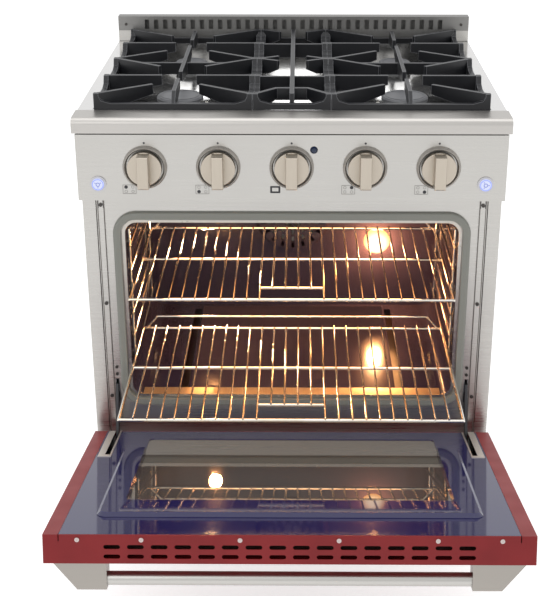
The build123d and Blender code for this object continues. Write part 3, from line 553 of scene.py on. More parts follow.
@dataclass(frozen=True)
class Glowing(Finish):
    """A lens or a button with a light behind it, brightest in the middle.

    Attributes:
        glow: Colour of the light.
        power: Strength of the light.
        rim: Colour of the light at the lens's edge. Without one the light is even.
        core: Share of the radius that stays at full strength.
    """

    glow: str = "#FFFFFF"
    power: float = 1.0
    rim: str = ""
    core: float = 0.45

    def detail(self, surface: Surface) -> None:
        """Light the surface from behind, fading to the rim's colour where it has one.

        Args:
            surface: The material being made.
        """
        tree, sockets = surface.tree, surface.shader.inputs
        sockets["Emission Color"].default_value = linear(self.glow)
        sockets["Emission Strength"].default_value = self.power
        if self.rim:
            disc = add(tree, "ShaderNodeMapping", {"Location": (-1.0, 0.0, -1.0),
                                                   "Scale": (2.0, 0.0, 2.0)},
                       {"Vector": surface.share()})
            inward = add(tree, "ShaderNodeTexGradient", {"gradient_type": "SPHERICAL"},
                         {"Vector": disc.outputs[0]}).outputs[0]
            surface.blend(inward, (self.rim, self.glow), 0.0, 1.0 - self.core, "Emission Color")
        surface.bump(surface.noise(4.0, 1.0), 0.03, 0.3)


FINISHES: dict[str, Finish] = {
    # Stainless sheet, belt-brushed across: pale grey, blurs what it mirrors.
    "brushed_stainless": BrushedSteel("stainless_steel_belt_brushed", "#BAB8B4", 0.30),
    # Stainless sheet, rolled bright: nearly a mirror.
    "polished_stainless": BrushedSteel("stainless_steel_bright_rolled", "#CFCDCA", 0.12,
                                       line_width=1.5, line_length=200.0),
    # Zinc-dipped steel sheet of the hidden panels: mottled grey.
    "galvanised_sheet": Spangle("steel_sheet_galvanised", "#B4B7B9", 0.42),
    # Baked powder paint on the door's shell: deep red, satin.
    "red_paint": SprayedPaint("steel_powder_painted_red", "#8E1C20", 0.42, ior=1.42,
                              shade="#821A1E"),
    # Vitreous enamel of the door's liner: deep blue glass.
    "blue_enamel": Enamel("steel_vitreous_enamelled_blue", "#232056", 0.06, ior=1.7,
                          fleck="#2E2B62"),
    # Vitreous enamel of the cavity: dark purple-grey glass.
    "cavity_enamel": Enamel("steel_vitreous_enamelled_dark", "#38334A", 0.12, ior=1.6,
                            fleck="#494460"),
    # Sand-cast iron under matt black enamel: rough, dark, with paler edges that are partly rubbed
    # and partly a painted highlight.
    "cast_iron": CastIron("cast_iron_matt_enamelled", "#191A1E", 0.40),
    # Burner cap of pressed steel under matt grey enamel.
    "burner_cap_enamel": SprayedPaint("steel_cap_matt_enamelled", "#76777A", 0.42,
                                      shade="#6B6C70"),
    # Die-cast aluminium of burner heads and tubes: dull silver.
    "burner_aluminium": Finish("aluminium_die_cast", "#A3A4A5", 0.45, metallic=1.0),
    # Plated wire of racks and guides: bright.
    "chrome_wire": BrightWire("steel_wire_chrome_plated", "#E6E2DA", 0.13),
    # Die-cast zinc knobs with a satin champagne plating.
    "knob_metal": BrushedSteel("zinc_die_cast_satin_plated", "#BBB2A5", 0.38,
                               grain=Grain.UPRIGHT, line_width=0.8, line_length=30.0),
    # Turned steel rings round the knobs: pale, quite dull.
    "bezel_metal": BrushedSteel("steel_turned_satin", "#BAB6B0", 0.60, line_width=0.8,
                                line_length=20.0),
    # Braided glass-fibre seal round the oven mouth: grey, matt, with painted shade between its
    # strands.
    "gasket_fibre": WovenFibre("glass_fibre_braided", "#A2A39C", 0.45),
    # Inner pane of the door, metal-coated to send the heat back: grey, mirror-like.
    "window_glass": CoatedGlass("float_glass_heat_coated", "#A19C95", 0.02, metallic=0.80),
    # Pressed glass lens of the oven lamp, lit: white in the middle, amber at its edge.
    "lamp_glass": Glowing("borosilicate_glass_lit", "#C79A70", 0.2, glow="#FFE6C0", power=2.8,
                          rim="#C88A4A"),
    # Moulded plastic push buttons, lit from behind: pale blue.
    "button_glow": Glowing("polycarbonate_button_lit", "#C6CCEA", 0.35, glow="#DDE3FF",
                           power=0.42),
    # Moulded acrylic of the signal lens, unlit: glossy dark blue.
    "signal_lens": Finish("acrylic_lens_dark_blue", "#20304E", 0.12),
    # Mineral wool round the oven: matt, straw yellow.
    "mineral_wool": LooseWool("mineral_wool_matted", "#B9A66B", 0.95),
    # Turned brass of the valves: warm, with fine rings of the tool.
    "brass": BrushedSteel("brass_turned", "#C8A557", 0.3, line_length=12.0),
    # Moulded nylon fittings: black, satin.
    "black_plastic": Finish("nylon_moulded_black", "#1C1C1E", 0.5),
    # Steel with a black oxide skin: dark, half dull.
    "dark_steel": Finish("steel_black_oxide", "#4A4A4C", 0.42, metallic=1.0),
}
# Finishes of single solids that differ from their slot's.
OVERRIDES: dict[str, Finish] = {
    # Vent trim of mill-finish sheet: duller and greyer than the brushed front.
    "backguard": BrushedSteel("stainless_steel_mill_finish", "#8F8E8C", 0.48, depth=0.001),
    # Ledge ground along its length and wiped daily: its polish blurs the grates.
    "landing_ledge": BrushedSteel("stainless_steel_ledge_brushed", "#BBB8B4", 0.38),
    # Spill pan: bright sheet that mirrors the grates, its well painted a little darker as shade.
    "cooktop_pan": PanWithShadedWell("stainless_steel_pan_shaded_well", "#BDBCBA", 0.15, depth=0.001),
    # Floor of the oven: the cavity's enamel painted paler, as painted light where the lamps light
    # the floor.
    "oven_floor_panel": Enamel("steel_vitreous_enamelled_painted_lit", "#4B4150", 0.13, ior=1.6,
                               fleck="#5A4F5E"),
    # Screws of the frame: passivated steel, darker than the sheet round them.
    "frame_screws": Finish("steel_screw_passivated", "#524F4D", 0.38, metallic=1.0),
    # Screws of the door: zinc-plated steel, pale.
    "door_screws": Finish("steel_screw_zinc_plated", "#C4B8B5", 0.35, metallic=1.0),
    # Collars of the push buttons, brushed like the panel.
    "switch_housings": BrushedSteel("stainless_steel_collar", "#BAB9BC", 0.40, depth=0.001),
    # Plates over the hinges, scuffed bright by the arms.
    "hinge_cover_plates": BrushedSteel("stainless_steel_plate_scuffed", "#DAD4CE", 0.42),
    # Handle brackets pressed from thicker sheet, a shade darker.
    "handle_brackets": BrushedSteel("stainless_steel_bracket_brushed", "#9F9A94", 0.34),
    # Outer pane of the door: tinted float glass, nearly black from outside.
    "outer_glass": CoatedGlass("float_glass_tinted", "#0D0D0F", 0.03, ior=1.52),
    # Wool in the door: dark brown, as dark as the door's inside looks through its slots.
    "door_insulation": LooseWool("mineral_wool_browned", "#4A2E28", 0.95, shade="#331E1A"),
}
# Screen-printed marks on the panel: matt dark grey ink.
INK = Finish("screen_ink_dark", "#3A3A3E", 0.6)
# Thin lines of the same ink, which let the steel shine through.
PALE_INK = Finish("screen_ink_thin", "#74716C", 0.5)
# Light ring and sign of a push button: white and blue light through moulded plastic.
RING_LIGHT = Glowing("polycarbonate_light_ring", "#97A4E2", 0.3, glow="#8C9CF2", power=0.6)
SIGN_LIGHT = Glowing("polycarbonate_light_sign", "#5468B8", 0.3, glow="#5468C8", power=0.25)
# Bright ring of the oven mouth, dulled by heat.
TRIM_STEEL = Finish("stainless_steel_heat_dulled", "#B3AEA7", 0.24, metallic=1.0)
# Sill below the oven mouth: the same steel, satin from wiping, its straw tint a painted reflection
# of the oven lamps' warm light.
WARM_LIT_SILL_STEEL = Finish("stainless_steel_painted_warm_glint", "#E6D2B2", 0.42, metallic=1.0)
# Rolled edges of the trim strips, painted dark as the shadow lines along the strips' sides.
SHADOW_BEAD_STEEL = Finish("steel_edge_painted_shadow", "#6E6A66", 0.5, metallic=1.0)
# Troughs under the oven floor: the cavity's enamel, painted dark brown as the shade seen in the
# slots.
SLOT_SHADE_ENAMEL = Enamel("steel_vitreous_enamelled_painted_shade", "#2C2223", 0.30, ior=1.6,
                       fleck="#382C2B")
# Fired alumina of the spark electrodes: white, satin.
CERAMIC = Finish("alumina_ceramic_fired", "#E9E6DF", 0.35)


# ---- studio ---------------------------------------------------------------------------------
@dataclass
class Camera:
    """The camera, at the height and the distance that show the range's top and open oven.

    Attributes:
        place: Where the lens is.
        pitch: Degrees down from level.
        yaw: Degrees turned about the upright, anticlockwise from above.
        sensor: Width of the sensor.
        lens: Focal length.
        shift: Offset of the lens as a share of the sensor's width.
        reach: Farthest point that it shows.
    """

    place: tuple[float, float, float] = (12.78, -2197.29, 1494.07)
    pitch: float = 22.69
    yaw: float = 0.41
    sensor: float = 36.0
    lens: float = 76.43477
    shift: Point = (-0.0223, -0.0406)
    reach: float = 60000.0

    def build(self) -> None:
        """Make the camera and hand it to the scene."""
        data = bpy.data.cameras.new("camera")
        data.sensor_width = self.sensor
        data.lens = self.lens
        data.shift_x, data.shift_y = self.shift
        data.clip_end = self.reach * MM
        camera = bpy.data.objects.new("camera", data)
        camera.location = [c * MM for c in self.place]
        camera.rotation_euler = (math.radians(90 - self.pitch), 0.0, math.radians(self.yaw))
        bpy.context.scene.collection.objects.link(camera)
        bpy.context.scene.camera = camera


def gather(name: str, nodes: Sequence[str], state: str) -> bpy.types.Collection:
    """Gather the solids that a lamp lights or passes, or the ones that it doesn't.

    Args:
        name: The collection's name.
        nodes: The solids' names.
        state: INCLUDE for only these, EXCLUDE for all but these.

    Returns:
        The collection.
    """
    group = bpy.data.collections.new(name)
    for node in nodes:
        group.objects.link(frame["nodes"][node])
    for row in group.collection_objects:
        row.light_linking.link_state = state
    return group


def make_lamp(name: str, kind: str, watts: float, colour: str = "#FFFFFF") -> bpy.types.Object:
    """Make a lamp that the camera doesn't see.

    Args:
        name: The lamp's name.
        kind: Blender's name of the kind of lamp.
        watts: Its power.
        colour: Its colour.

    Returns:
        The lamp.
    """
    data = bpy.data.lights.new(name, kind)
    data.color = linear(colour)[:3]
    data.energy = watts
    lamp = bpy.data.objects.new(name, data)
    lamp.visible_camera = False
    bpy.context.scene.collection.objects.link(lamp)
    return lamp


def hang_panel(lamp: bpy.types.Object, size: Point, place: Sequence[float],
               aim: Sequence[float]) -> None:
    """Make an area lamp a rectangle and hang it so that it faces a point.

    Args:
        lamp: The lamp.
        size: Its width and its height.
        place: Where its middle is.
        aim: The point that it faces.
    """
    lamp.data.shape = "RECTANGLE"
    lamp.data.size, lamp.data.size_y = size[0] * MM, size[1] * MM
    lamp.location = Vector(place) * MM
    facing = Vector(aim) - Vector(place)
    lamp.rotation_euler = facing.to_track_quat("-Z", "Y").to_euler()


def first_sight(tree: bpy.types.NodeTree, rays: Sequence[str]) -> bpy.types.NodeSocket:
    """Tell the rays that should see a white background from those that it lights.

    Args:
        tree: The node tree that gets the nodes.
        rays: Names of Light Path outputs.

    Returns:
        1 for those rays, 0 for the others.
    """
    path = add(tree, "ShaderNodeLightPath")
    seen = path.outputs[rays[0]]
    for ray in rays[1:]:
        seen = add(tree, "ShaderNodeMath", {"operation": "MAXIMUM"},
                   {0: seen, 1: path.outputs[ray]}).outputs[0]
    return seen


@dataclass
class Studio:
    """A plain pale floor, a white surround, soft lamps and a bright window behind.

    Attributes:
        floor_size: Side of the floor.
        floor_colour: Colour of the floor.
        floor_lift: Light that the floor adds where it is seen, so that it fades into the white.
        sky: Strength of the surround as a light.
        window: How far behind the hinge line the window's lamps stand.
    """

    floor_size: float = 30000.0
    floor_colour: str = "#F6F6F6"
    floor_lift: float = 0.60
    sky: float = 0.62
    window: float = 1500.0

    def build(self) -> None:
        """Make the floor, the surround and the lamps."""
        bpy.context.scene.view_settings.view_transform = "Standard"
        self.surround()
        self.floor()
        self.softbox("lamp_front", watts=16.0, side=2200, place=(-1500, -2900, 2600),
                     aim=(0, 0, 600))
        self.softbox("lamp_right", watts=5.0, side=1800, place=(2600, -1200, 2100),
                     aim=(0, 0, 500))
        top = self.softbox("lamp_top", watts=20.0, side=2400, place=(0, 300, 3400),
                           aim=(0, 200, 900))
        # The pan mirrors the white surround alone, or it would go flat white from above.
        top.light_linking.receiver_collection = gather("lamp_top_unlit", ("cooktop_pan",),
                                                       "EXCLUDE")
        self.pane("lamp_pan_centre", watts=0.20, across=(-70, 70), height=(1110, 1300),
                  clear=("backguard", "grate_left", "grate_centre", "grate_right"))
        self.pane("lamp_pan_left", watts=0.17, across=(-410, -210), height=(1195, 1275))
        self.pane("lamp_pan_right", watts=0.17, across=(210, 410), height=(1195, 1275))

    def surround(self) -> None:
        """Make a surround that is white to the eye and in reflections, and softer as a light."""
        world = bpy.data.worlds.new("surround")
        bpy.context.scene.world = world
        tree = blank_tree(world)
        white = linear("#FFFFFF")
        seen = first_sight(tree, ("Is Camera Ray", "Is Glossy Ray", "Is Transmission Ray"))
        light = add(tree, "ShaderNodeBackground", {"Color": white, "Strength": self.sky})
        sight = add(tree, "ShaderNodeBackground", {"Color": white, "Strength": 1.0})
        mix = add(tree, "ShaderNodeMixShader",
                  links={0: seen, 1: light.outputs[0], 2: sight.outputs[0]})
        add(tree, "ShaderNodeOutputWorld", links={0: mix.outputs[0]})

    def floor(self) -> None:
        """Lay a pale matt floor that keeps the range's shadow."""
        half = self.floor_size / 2 * MM
        mesh = bpy.data.meshes.new("floor")
        mesh.from_pydata([(-half, -half, 0), (half, -half, 0), (half, half, 0), (-half, half, 0)],
                         [], [(0, 1, 2, 3)])
        floor = bpy.data.objects.new("floor", mesh)
        bpy.context.scene.collection.objects.link(floor)
        material = bpy.data.materials.new("studio_floor")
        tree = blank_tree(material)
        seen = first_sight(tree, ("Is Camera Ray", "Is Glossy Ray"))
        lift = add(tree, "ShaderNodeMath", {"operation": "MULTIPLY", 1: self.floor_lift},
                   {0: seen}).outputs[0]
        matt = add(tree, "ShaderNodeBsdfDiffuse", {"Color": linear(self.floor_colour)})
        glow = add(tree, "ShaderNodeEmission", {"Color": linear("#FFFFFF")}, {"Strength": lift})
        both = add(tree, "ShaderNodeAddShader", links={0: matt.outputs[0], 1: glow.outputs[0]})
        add(tree, "ShaderNodeOutputMaterial", links={0: both.outputs[0]})
        mesh.materials.append(material)

    def softbox(self, name: str, watts: float, side: float, place: Sequence[float],
                aim: Sequence[float]) -> bpy.types.Object:
        """Hang a square soft lamp.

        Args:
            name: The lamp's name.
            watts: Its power.
            side: Its side.
            place: Where it hangs.
            aim: The point that it faces.

        Returns:
            The lamp.
        """
        lamp = make_lamp(name, "AREA", watts)
        hang_panel(lamp, (side, side), place, aim)
        return lamp

    def pane(self, name: str, watts: float, across: Point, height: Point,
             clear: Sequence[str] = ("backguard",)) -> None:
        """Stand a pane of the window behind the range, for the spill pan alone to mirror.

        Args:
            name: The lamp's name.
            watts: Its power.
            across: Its left and right edge.
            height: Its lower and upper edge.
            clear: Solids that its light passes.
        """
        lamp = make_lamp(name, "AREA", watts)
        x, z = sum(across) / 2, sum(height) / 2
        hang_panel(lamp, (across[1] - across[0], height[1] - height[0]), (x, self.window, z),
                   (x, 0.0, z))
        lamp.light_linking.receiver_collection = gather(f"{name}_lit", ("cooktop_pan",), "INCLUDE")
        lamp.light_linking.blocker_collection = gather(f"{name}_clear", clear, "EXCLUDE")


@dataclass
class OvenLight:
    """Warm light of the oven lamps: the one behind the lens and its fellow on the left.

    Attributes:
        colour: Colour of the lamps.
        amber: Colour of the light that the lens spreads on the wall.
        straw: Colour of the light that glints on the wires.
        bulb: Radius of a bulb.
        inward: How far inward of the lens's mirror image the fellow lamp sits.
        spill: Radius of the lens's bright spot.
        ceiling: Width and depth of the lamps under the ceiling.
        fade: Share of a beam over which it fades at its edge.
    """

    colour: str = "#FFAE6A"
    amber: str = "#FF9640"
    straw: str = "#FFCB98"
    bulb: float = 14.0
    inward: float = 9.0
    spill: float = 3.0
    ceiling: Point = (500.0, 300.0)
    fade: float = 0.35

    def build(self) -> None:
        """Light the lens, the wires, and the floor and the door where the lens shines on them."""
        self.wall_light()
        self.wire_light()
        x, z = middle("oven_lamp_lens")
        face = span("oven_lamp_lens")[0].y
        fellow = self.inward - x
        self.beam("oven_beam_floor", watts=4.5, place=(x, face + 2.0, z - 28.0), dip=26.0,
                  width=26.0)
        self.beam("oven_beam_door", watts=14.0, place=(fellow, face + 4.0, 428.0), dip=6.0,
                  width=14.0)
        self.beam("oven_beam_sill", watts=1.2, place=(fellow, face + 4.0, 560.0), dip=30.0,
                  width=8.0)
        fill = make_lamp("oven_fill", "AREA", 1.3, self.colour)
        hang_panel(fill, self.ceiling, (0.0, 150.0, 676.0), (0.0, 150.0, 0.0))

    def wall_light(self) -> None:
        """Put the lamp before the lens and the glow that the lens spreads on the back wall."""
        x, z = middle("oven_lamp_lens")
        face, back = (corner.y for corner in span("oven_lamp_lens"))
        halo = self.bare_bulb("oven_lamp_halo", 2.0, (x, face - 16.0, z), self.colour)
        unlit = ("inner_glass", "outer_glass", "door_liner", "oven_floor_panel", "oven_lamp_lens")
        halo.light_linking.receiver_collection = gather("oven_halo_unlit", unlit, "EXCLUDE")
        corona = self.bare_bulb("oven_lamp_corona", 0.6, (x, back - 12.0, z), self.amber)
        corona.data.shadow_soft_size = self.spill * MM
        corona.light_linking.receiver_collection = gather("oven_corona_lit", ("oven_liner",),
                                                          "INCLUDE")
        lens = gather("oven_lens_clear", ("oven_lamp_lens",), "EXCLUDE")
        for lamp in (halo, corona):
            lamp.light_linking.blocker_collection = lens

    def wire_light(self) -> None:
        """Make the racks and their guides glint from the left and from the ceiling."""
        x, z = middle("oven_lamp_lens")
        face = span("oven_lamp_lens")[0].y
        glint = self.bare_bulb("oven_glint_left", 3.0, (-x, face - 30.0, z + 20.0), self.straw)
        sheen = make_lamp("oven_sheen", "AREA", 3.4, self.straw)
        hang_panel(sheen, self.ceiling, (0.0, 60.0, 678.0), (0.0, 60.0, 0.0))
        wires = gather("oven_wires_lit", ("rack_guides", "upper_rack", "lower_rack"), "INCLUDE")
        for lamp in (glint, sheen):
            lamp.light_linking.receiver_collection = wires

    def bare_bulb(self, name: str, watts: float, place: Sequence[float],
                  colour: str) -> bpy.types.Object:
        """Hang a lamp that shines all round.

        Args:
            name: The lamp's name.
            watts: Its power.
            place: Where it hangs.
            colour: Its colour.

        Returns:
            The lamp.
        """
        lamp = make_lamp(name, "POINT", watts, colour)
        lamp.data.shadow_soft_size = self.bulb * MM
        lamp.location = Vector(place) * MM
        return lamp

    def beam(self, name: str, watts: float, place: Sequence[float], dip: float,
             width: float) -> None:
        """Send a beam forwards from near the back wall.

        Args:
            name: The lamp's name.
            watts: Its power.
            place: Where it is.
            dip: Degrees by which it points down.
            width: Width of its cone in degrees.
        """
        lamp = make_lamp(name, "SPOT", watts, self.colour)
        lamp.data.shadow_soft_size = self.bulb * MM
        lamp.data.spot_size = math.radians(width)
        lamp.data.spot_blend = self.fade
        lamp.location = Vector(place) * MM
        lamp.rotation_euler = (math.radians(90 - dip), 0.0, math.pi)


# ---- dressing of the solids -----------------------------------------------------------------
@dataclass
class Dressing:
    """Puts each solid into the finish of its material slot.

    Attributes:
        overrides: Finishes of single nodes that differ from their slot's.
    """

    overrides: Mapping[str, Finish]

    def build(self) -> None:
        """Dress every node that the record lists."""
        for row in frame["record"]["subparts"]:
            node = row["node"]
            finish = self.overrides.get(node, FINISHES[row["material_slot"]])
            materials = frame["nodes"][node].data.materials
            materials.clear()
            materials.append(finish.build())
            LOG.info("%s: %s", node, finish.name)


@dataclass
class GrateEdges:
    """Rounds the edges of the cast grates as the foundry leaves them.

    Attributes:
        radius: Radius of an edge.
        limit: Degrees of turn from which an edge is rounded.
    """

    radius: float = 1.4
    limit: float = 40.0

    def build(self) -> None:
        """Bevel the three grates."""
        for name in ("grate_left", "grate_centre", "grate_right"):
            bevel = frame["nodes"][name].modifiers.new("cast_edges", "BEVEL")
            bevel.width = self.radius * MM
            bevel.segments = 2
            bevel.limit_method = "ANGLE"
            bevel.angle_limit = math.radians(self.limit)
            bevel.harden_normals = True


# ---- fittings built in mesh code ------------------------------------------------------------
def span(node: str) -> tuple[Vector, Vector]:
    """Return the lowest and the highest corner of a solid."""
    low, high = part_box(node)
    return Vector(low) / MM, Vector(high) / MM


def middle(node: str) -> tuple[float, float]:
    """Return the middle of a solid's front, as (x, z)."""
    low, high = span(node)
    return (low.x + high.x) / 2, (low.z + high.z) / 2


def circle(centre: Point, radius: float, steps: int) -> list[Point]:
    """Return the outline of a disc in an upright plane."""
    turns = [math.tau * i / steps for i in range(steps)]
    return [(centre[0] + radius * math.cos(t), centre[1] + radius * math.sin(t)) for t in turns]


def rounded(half: Point, centre: Point, radius: float, steps: int = 6) -> list[Point]:
    """Return the outline of a rectangle with round corners.

    Args:
        half: Half of its width and half of its height.
        centre: Its middle, as (x, z).
        radius: Radius of its corners.
        steps: Points on each corner, less one.

    Returns:
        The outline, anticlockwise from the right-hand side.
    """
    outline = []
    for quarter, (right, up) in enumerate(((1, 1), (-1, 1), (-1, -1), (1, -1))):
        x = centre[0] + right * (half[0] - radius)
        z = centre[1] + up * (half[1] - radius)
        for i in range(steps + 1):
            turn = math.pi / 2 * (quarter + i / steps)
            outline.append((x + radius * math.cos(turn), z + radius * math.sin(turn)))
    return outline


@dataclass
class Fitting:
    """A small piece built in mesh code that moves with one body.

    Attributes:
        name: The piece's name.
        finish: Its finish.
        slot: The record's material slot that goes with it. Not used.
        body: The body that it rides on.
        mesh: The mesh being built.
    """

    name: str
    finish: Finish
    slot: str
    body: str = "range_body"
    mesh: bmesh.types.BMesh = field(default_factory=bmesh.new)

    def skin(self, rows: Sequence[Sequence[Vector]], closed: bool = False) -> None:
        """Join loops of points with faces.

        Args:
            rows: Loops of points, each with the same number.
            closed: Whether the last loop joins the first. Open ends get a cap.
        """
        loops = [[self.mesh.verts.new(point * MM) for point in row] for row in rows]
        pairs = list(zip(loops, loops[1:]))
        if closed:
            pairs.append((loops[-1], loops[0]))
        for near, far in pairs:
            for i in range(len(near)):
                j = (i + 1) % len(near)
                self.mesh.faces.new((near[i], near[j], far[j], far[i]))
        if not closed:
            self.mesh.faces.new(loops[0])
            self.mesh.faces.new(loops[-1])

    def plate(self, outline: Sequence[Point], depth: Point) -> None:
        """Raise a plate of one (x, z) outline between two depths along Y."""
        self.skin([[Vector((x, y, z)) for x, z in outline] for y in depth])

    def band(self, inner: Sequence[Point], outer: Sequence[Point], depth: Point) -> None:
        """Raise a band between two outlines.

        Args:
            inner: Its inner (x, z) outline.
            outer: Its outer one, of as many points.
            depth: Its two depths along Y.
        """
        near, far = depth
        rows = [[Vector((x, y, z)) for x, z in outline]
                for outline, y in ((inner, near), (outer, near), (outer, far), (inner, far))]
        self.skin(rows, closed=True)

    def turned(self, profile: Sequence[Point], centre: Vector, axis: Vector, steps: int) -> None:
        """Turn a closed profile about an axis.

        Args:
            profile: Points as (radius, distance along the axis).
            centre: A point on the axis.
            axis: Direction of the axis.
            steps: Number of sides.
        """
        turn = axis.to_track_quat("Z", "Y")
        rows = []
        for i in range(steps):
            angle = math.tau * i / steps
            out = Vector((math.cos(angle), math.sin(angle), 0.0))
            rows.append([centre + turn @ (out * radius + Vector((0, 0, along)))
                         for radius, along in profile])
        self.skin(rows, closed=True)

    def build(self) -> None:
        """Make the piece, dress it and let it ride on its body."""
        bmesh.ops.remove_doubles(self.mesh, verts=self.mesh.verts, dist=1e-7)
        bmesh.ops.recalc_face_normals(self.mesh, faces=self.mesh.faces)
        data = bpy.data.meshes.new(self.name)
        self.mesh.to_mesh(data)
        self.mesh.free()
        data.materials.append(self.finish.build())
        data.shade_smooth()
        data.set_sharp_from_angle(angle=math.radians(35))
        piece = bpy.data.objects.new(self.name, data)
        bpy.context.scene.collection.objects.link(piece)
        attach(piece, self.body)
        LOG.info("%s: %d faces on %s", self.name, len(data.polygons), self.body)


@dataclass
class PanelMarks:
    """Printed marks of the control panel: a dot over each knob, burner maps and an oven mark.

    Attributes:
        thickness: Height of the ink.
        dot: Radius of a dot.
        rise: From a knob's axis up to its dot.
        aside: From a knob's axis left to its map.
        drop: From a knob's axis down to its map.
        half: Half of a map's width and height.
        line: Width of a map's frame.
        pitch: Shares of that half at which the burners stand.
        chosen: Radius of the filled burner.
        other: Inner and outer radius of the rest.
    """

    thickness: float = 0.08
    dot: float = 1.9
    rise: float = 44.0
    aside: float = 29.0
    drop: float = 41.0
    half: Point = (12.0, 8.5)
    line: float = 0.8
    pitch: Point = (0.5, 0.48)
    chosen: float = 3.2
    other: Point = (2.0, 2.7)

    def build(self) -> None:
        """Print the marks of the five knobs."""
        face = span("control_panel")[0].y
        depth = (face - self.thickness, face + SINK)
        marks = Fitting("panel_marks", INK, "black_plastic")
        maps = Fitting("panel_maps", PALE_INK, "black_plastic")
        burners = {"knob_front_left": (-1, 1), "knob_rear_left": (-1, -1),
                   "knob_rear_right": (1, 1), "knob_front_right": (1, -1), "knob_oven": None}
        for knob, burner in burners.items():
            x, z = middle(knob)
            centre = (x - self.aside, z - self.drop)
            marks.plate(circle((x, z + self.rise), self.dot, 16), depth)
            if burner:
                self.burner_map(marks, maps, centre, burner, depth)
            else:
                marks.band(rounded((5.6, 3.4), centre, 0.6), rounded((9.0, 6.6), centre, 1.4),
                           depth)
        marks.build()
        maps.build()

    def burner_map(self, marks: Fitting, maps: Fitting, centre: Point, burner: Point,
                   depth: Point) -> None:
        """Print a plan of the four burners with one of them filled in.

        Args:
            marks: The piece that gets the filled burner.
            maps: The piece that gets the frame and the other burners.
            centre: Middle of the plan.
            burner: Which burner is filled: -1 or 1 across, -1 or 1 up.
            depth: Face and back of the ink.
        """
        inner = (self.half[0] - self.line, self.half[1] - self.line)
        maps.band(rounded(inner, centre, 0.8), rounded(self.half, centre, 1.2), depth)
        for right in (-1, 1):
            for up in (-1, 1):
                place = (centre[0] + right * self.half[0] * self.pitch[0],
                         centre[1] + up * self.half[1] * self.pitch[1])
                if (right, up) == burner:
                    marks.plate(circle(place, self.chosen, 20), depth)
                else:
                    maps.band(circle(place, self.other[0], 20), circle(place, self.other[1], 20),
                              depth)


@dataclass
class ButtonLights:
    """Lit ring and lit sign in the face of each push button.

    Attributes:
        thickness: How far they stand out of the face.
        ring: Inner and outer radius of the ring.
        hub: Inner and outer radius of the sign's middle.
        arm: Inner and outer end of the sign's arms.
        arm_half: Half of an arm's width.
        turns: Turn of the arms on the left and on the right button, in radians.
    """

    thickness: float = 0.10
    ring: Point = (8.6, 10.4)
    hub: Point = (2.6, 3.6)
    arm: Point = (4.4, 6.8)
    arm_half: float = 0.55
    turns: Point = (0.52, 0.0)

    def build(self) -> None:
        """Light the oven-lamp button on the left and the fan button on the right."""
        for side, turn in zip(("left", "right"), self.turns):
            node = f"push_button_{side}"
            face, centre = span(node)[0].y, middle(node)
            depth = (face - self.thickness, face + SINK)
            light = Fitting(f"button_light_{side}", RING_LIGHT, "button_glow", node)
            light.band(circle(centre, self.ring[0], 48), circle(centre, self.ring[1], 48), depth)
            light.build()
            self.sign(Fitting(f"button_sign_{side}", SIGN_LIGHT, "button_glow", node), centre,
                      depth, turn)

    def sign(self, sign: Fitting, centre: Point, depth: Point, turn: float) -> None:
        """Mould a sign: a small ring with three arms.

        Args:
            sign: The piece that it becomes.
            centre: Its middle.
            depth: Its face and its back.
            turn: Turn of its arms, in radians.
        """
        sign.band(circle(centre, self.hub[0], 24), circle(centre, self.hub[1], 24), depth)
        for third in range(3):
            angle = math.tau * third / 3 + turn
            along = Vector((math.cos(angle), math.sin(angle)))
            across = Vector((-along.y, along.x)) * self.arm_half
            near, far = along * self.arm[0], along * self.arm[1]
            ends = [near - across, far - across, far + across, near + across]
            sign.plate([(centre[0] + p.x, centre[1] + p.y) for p in ends], depth)
        sign.build()


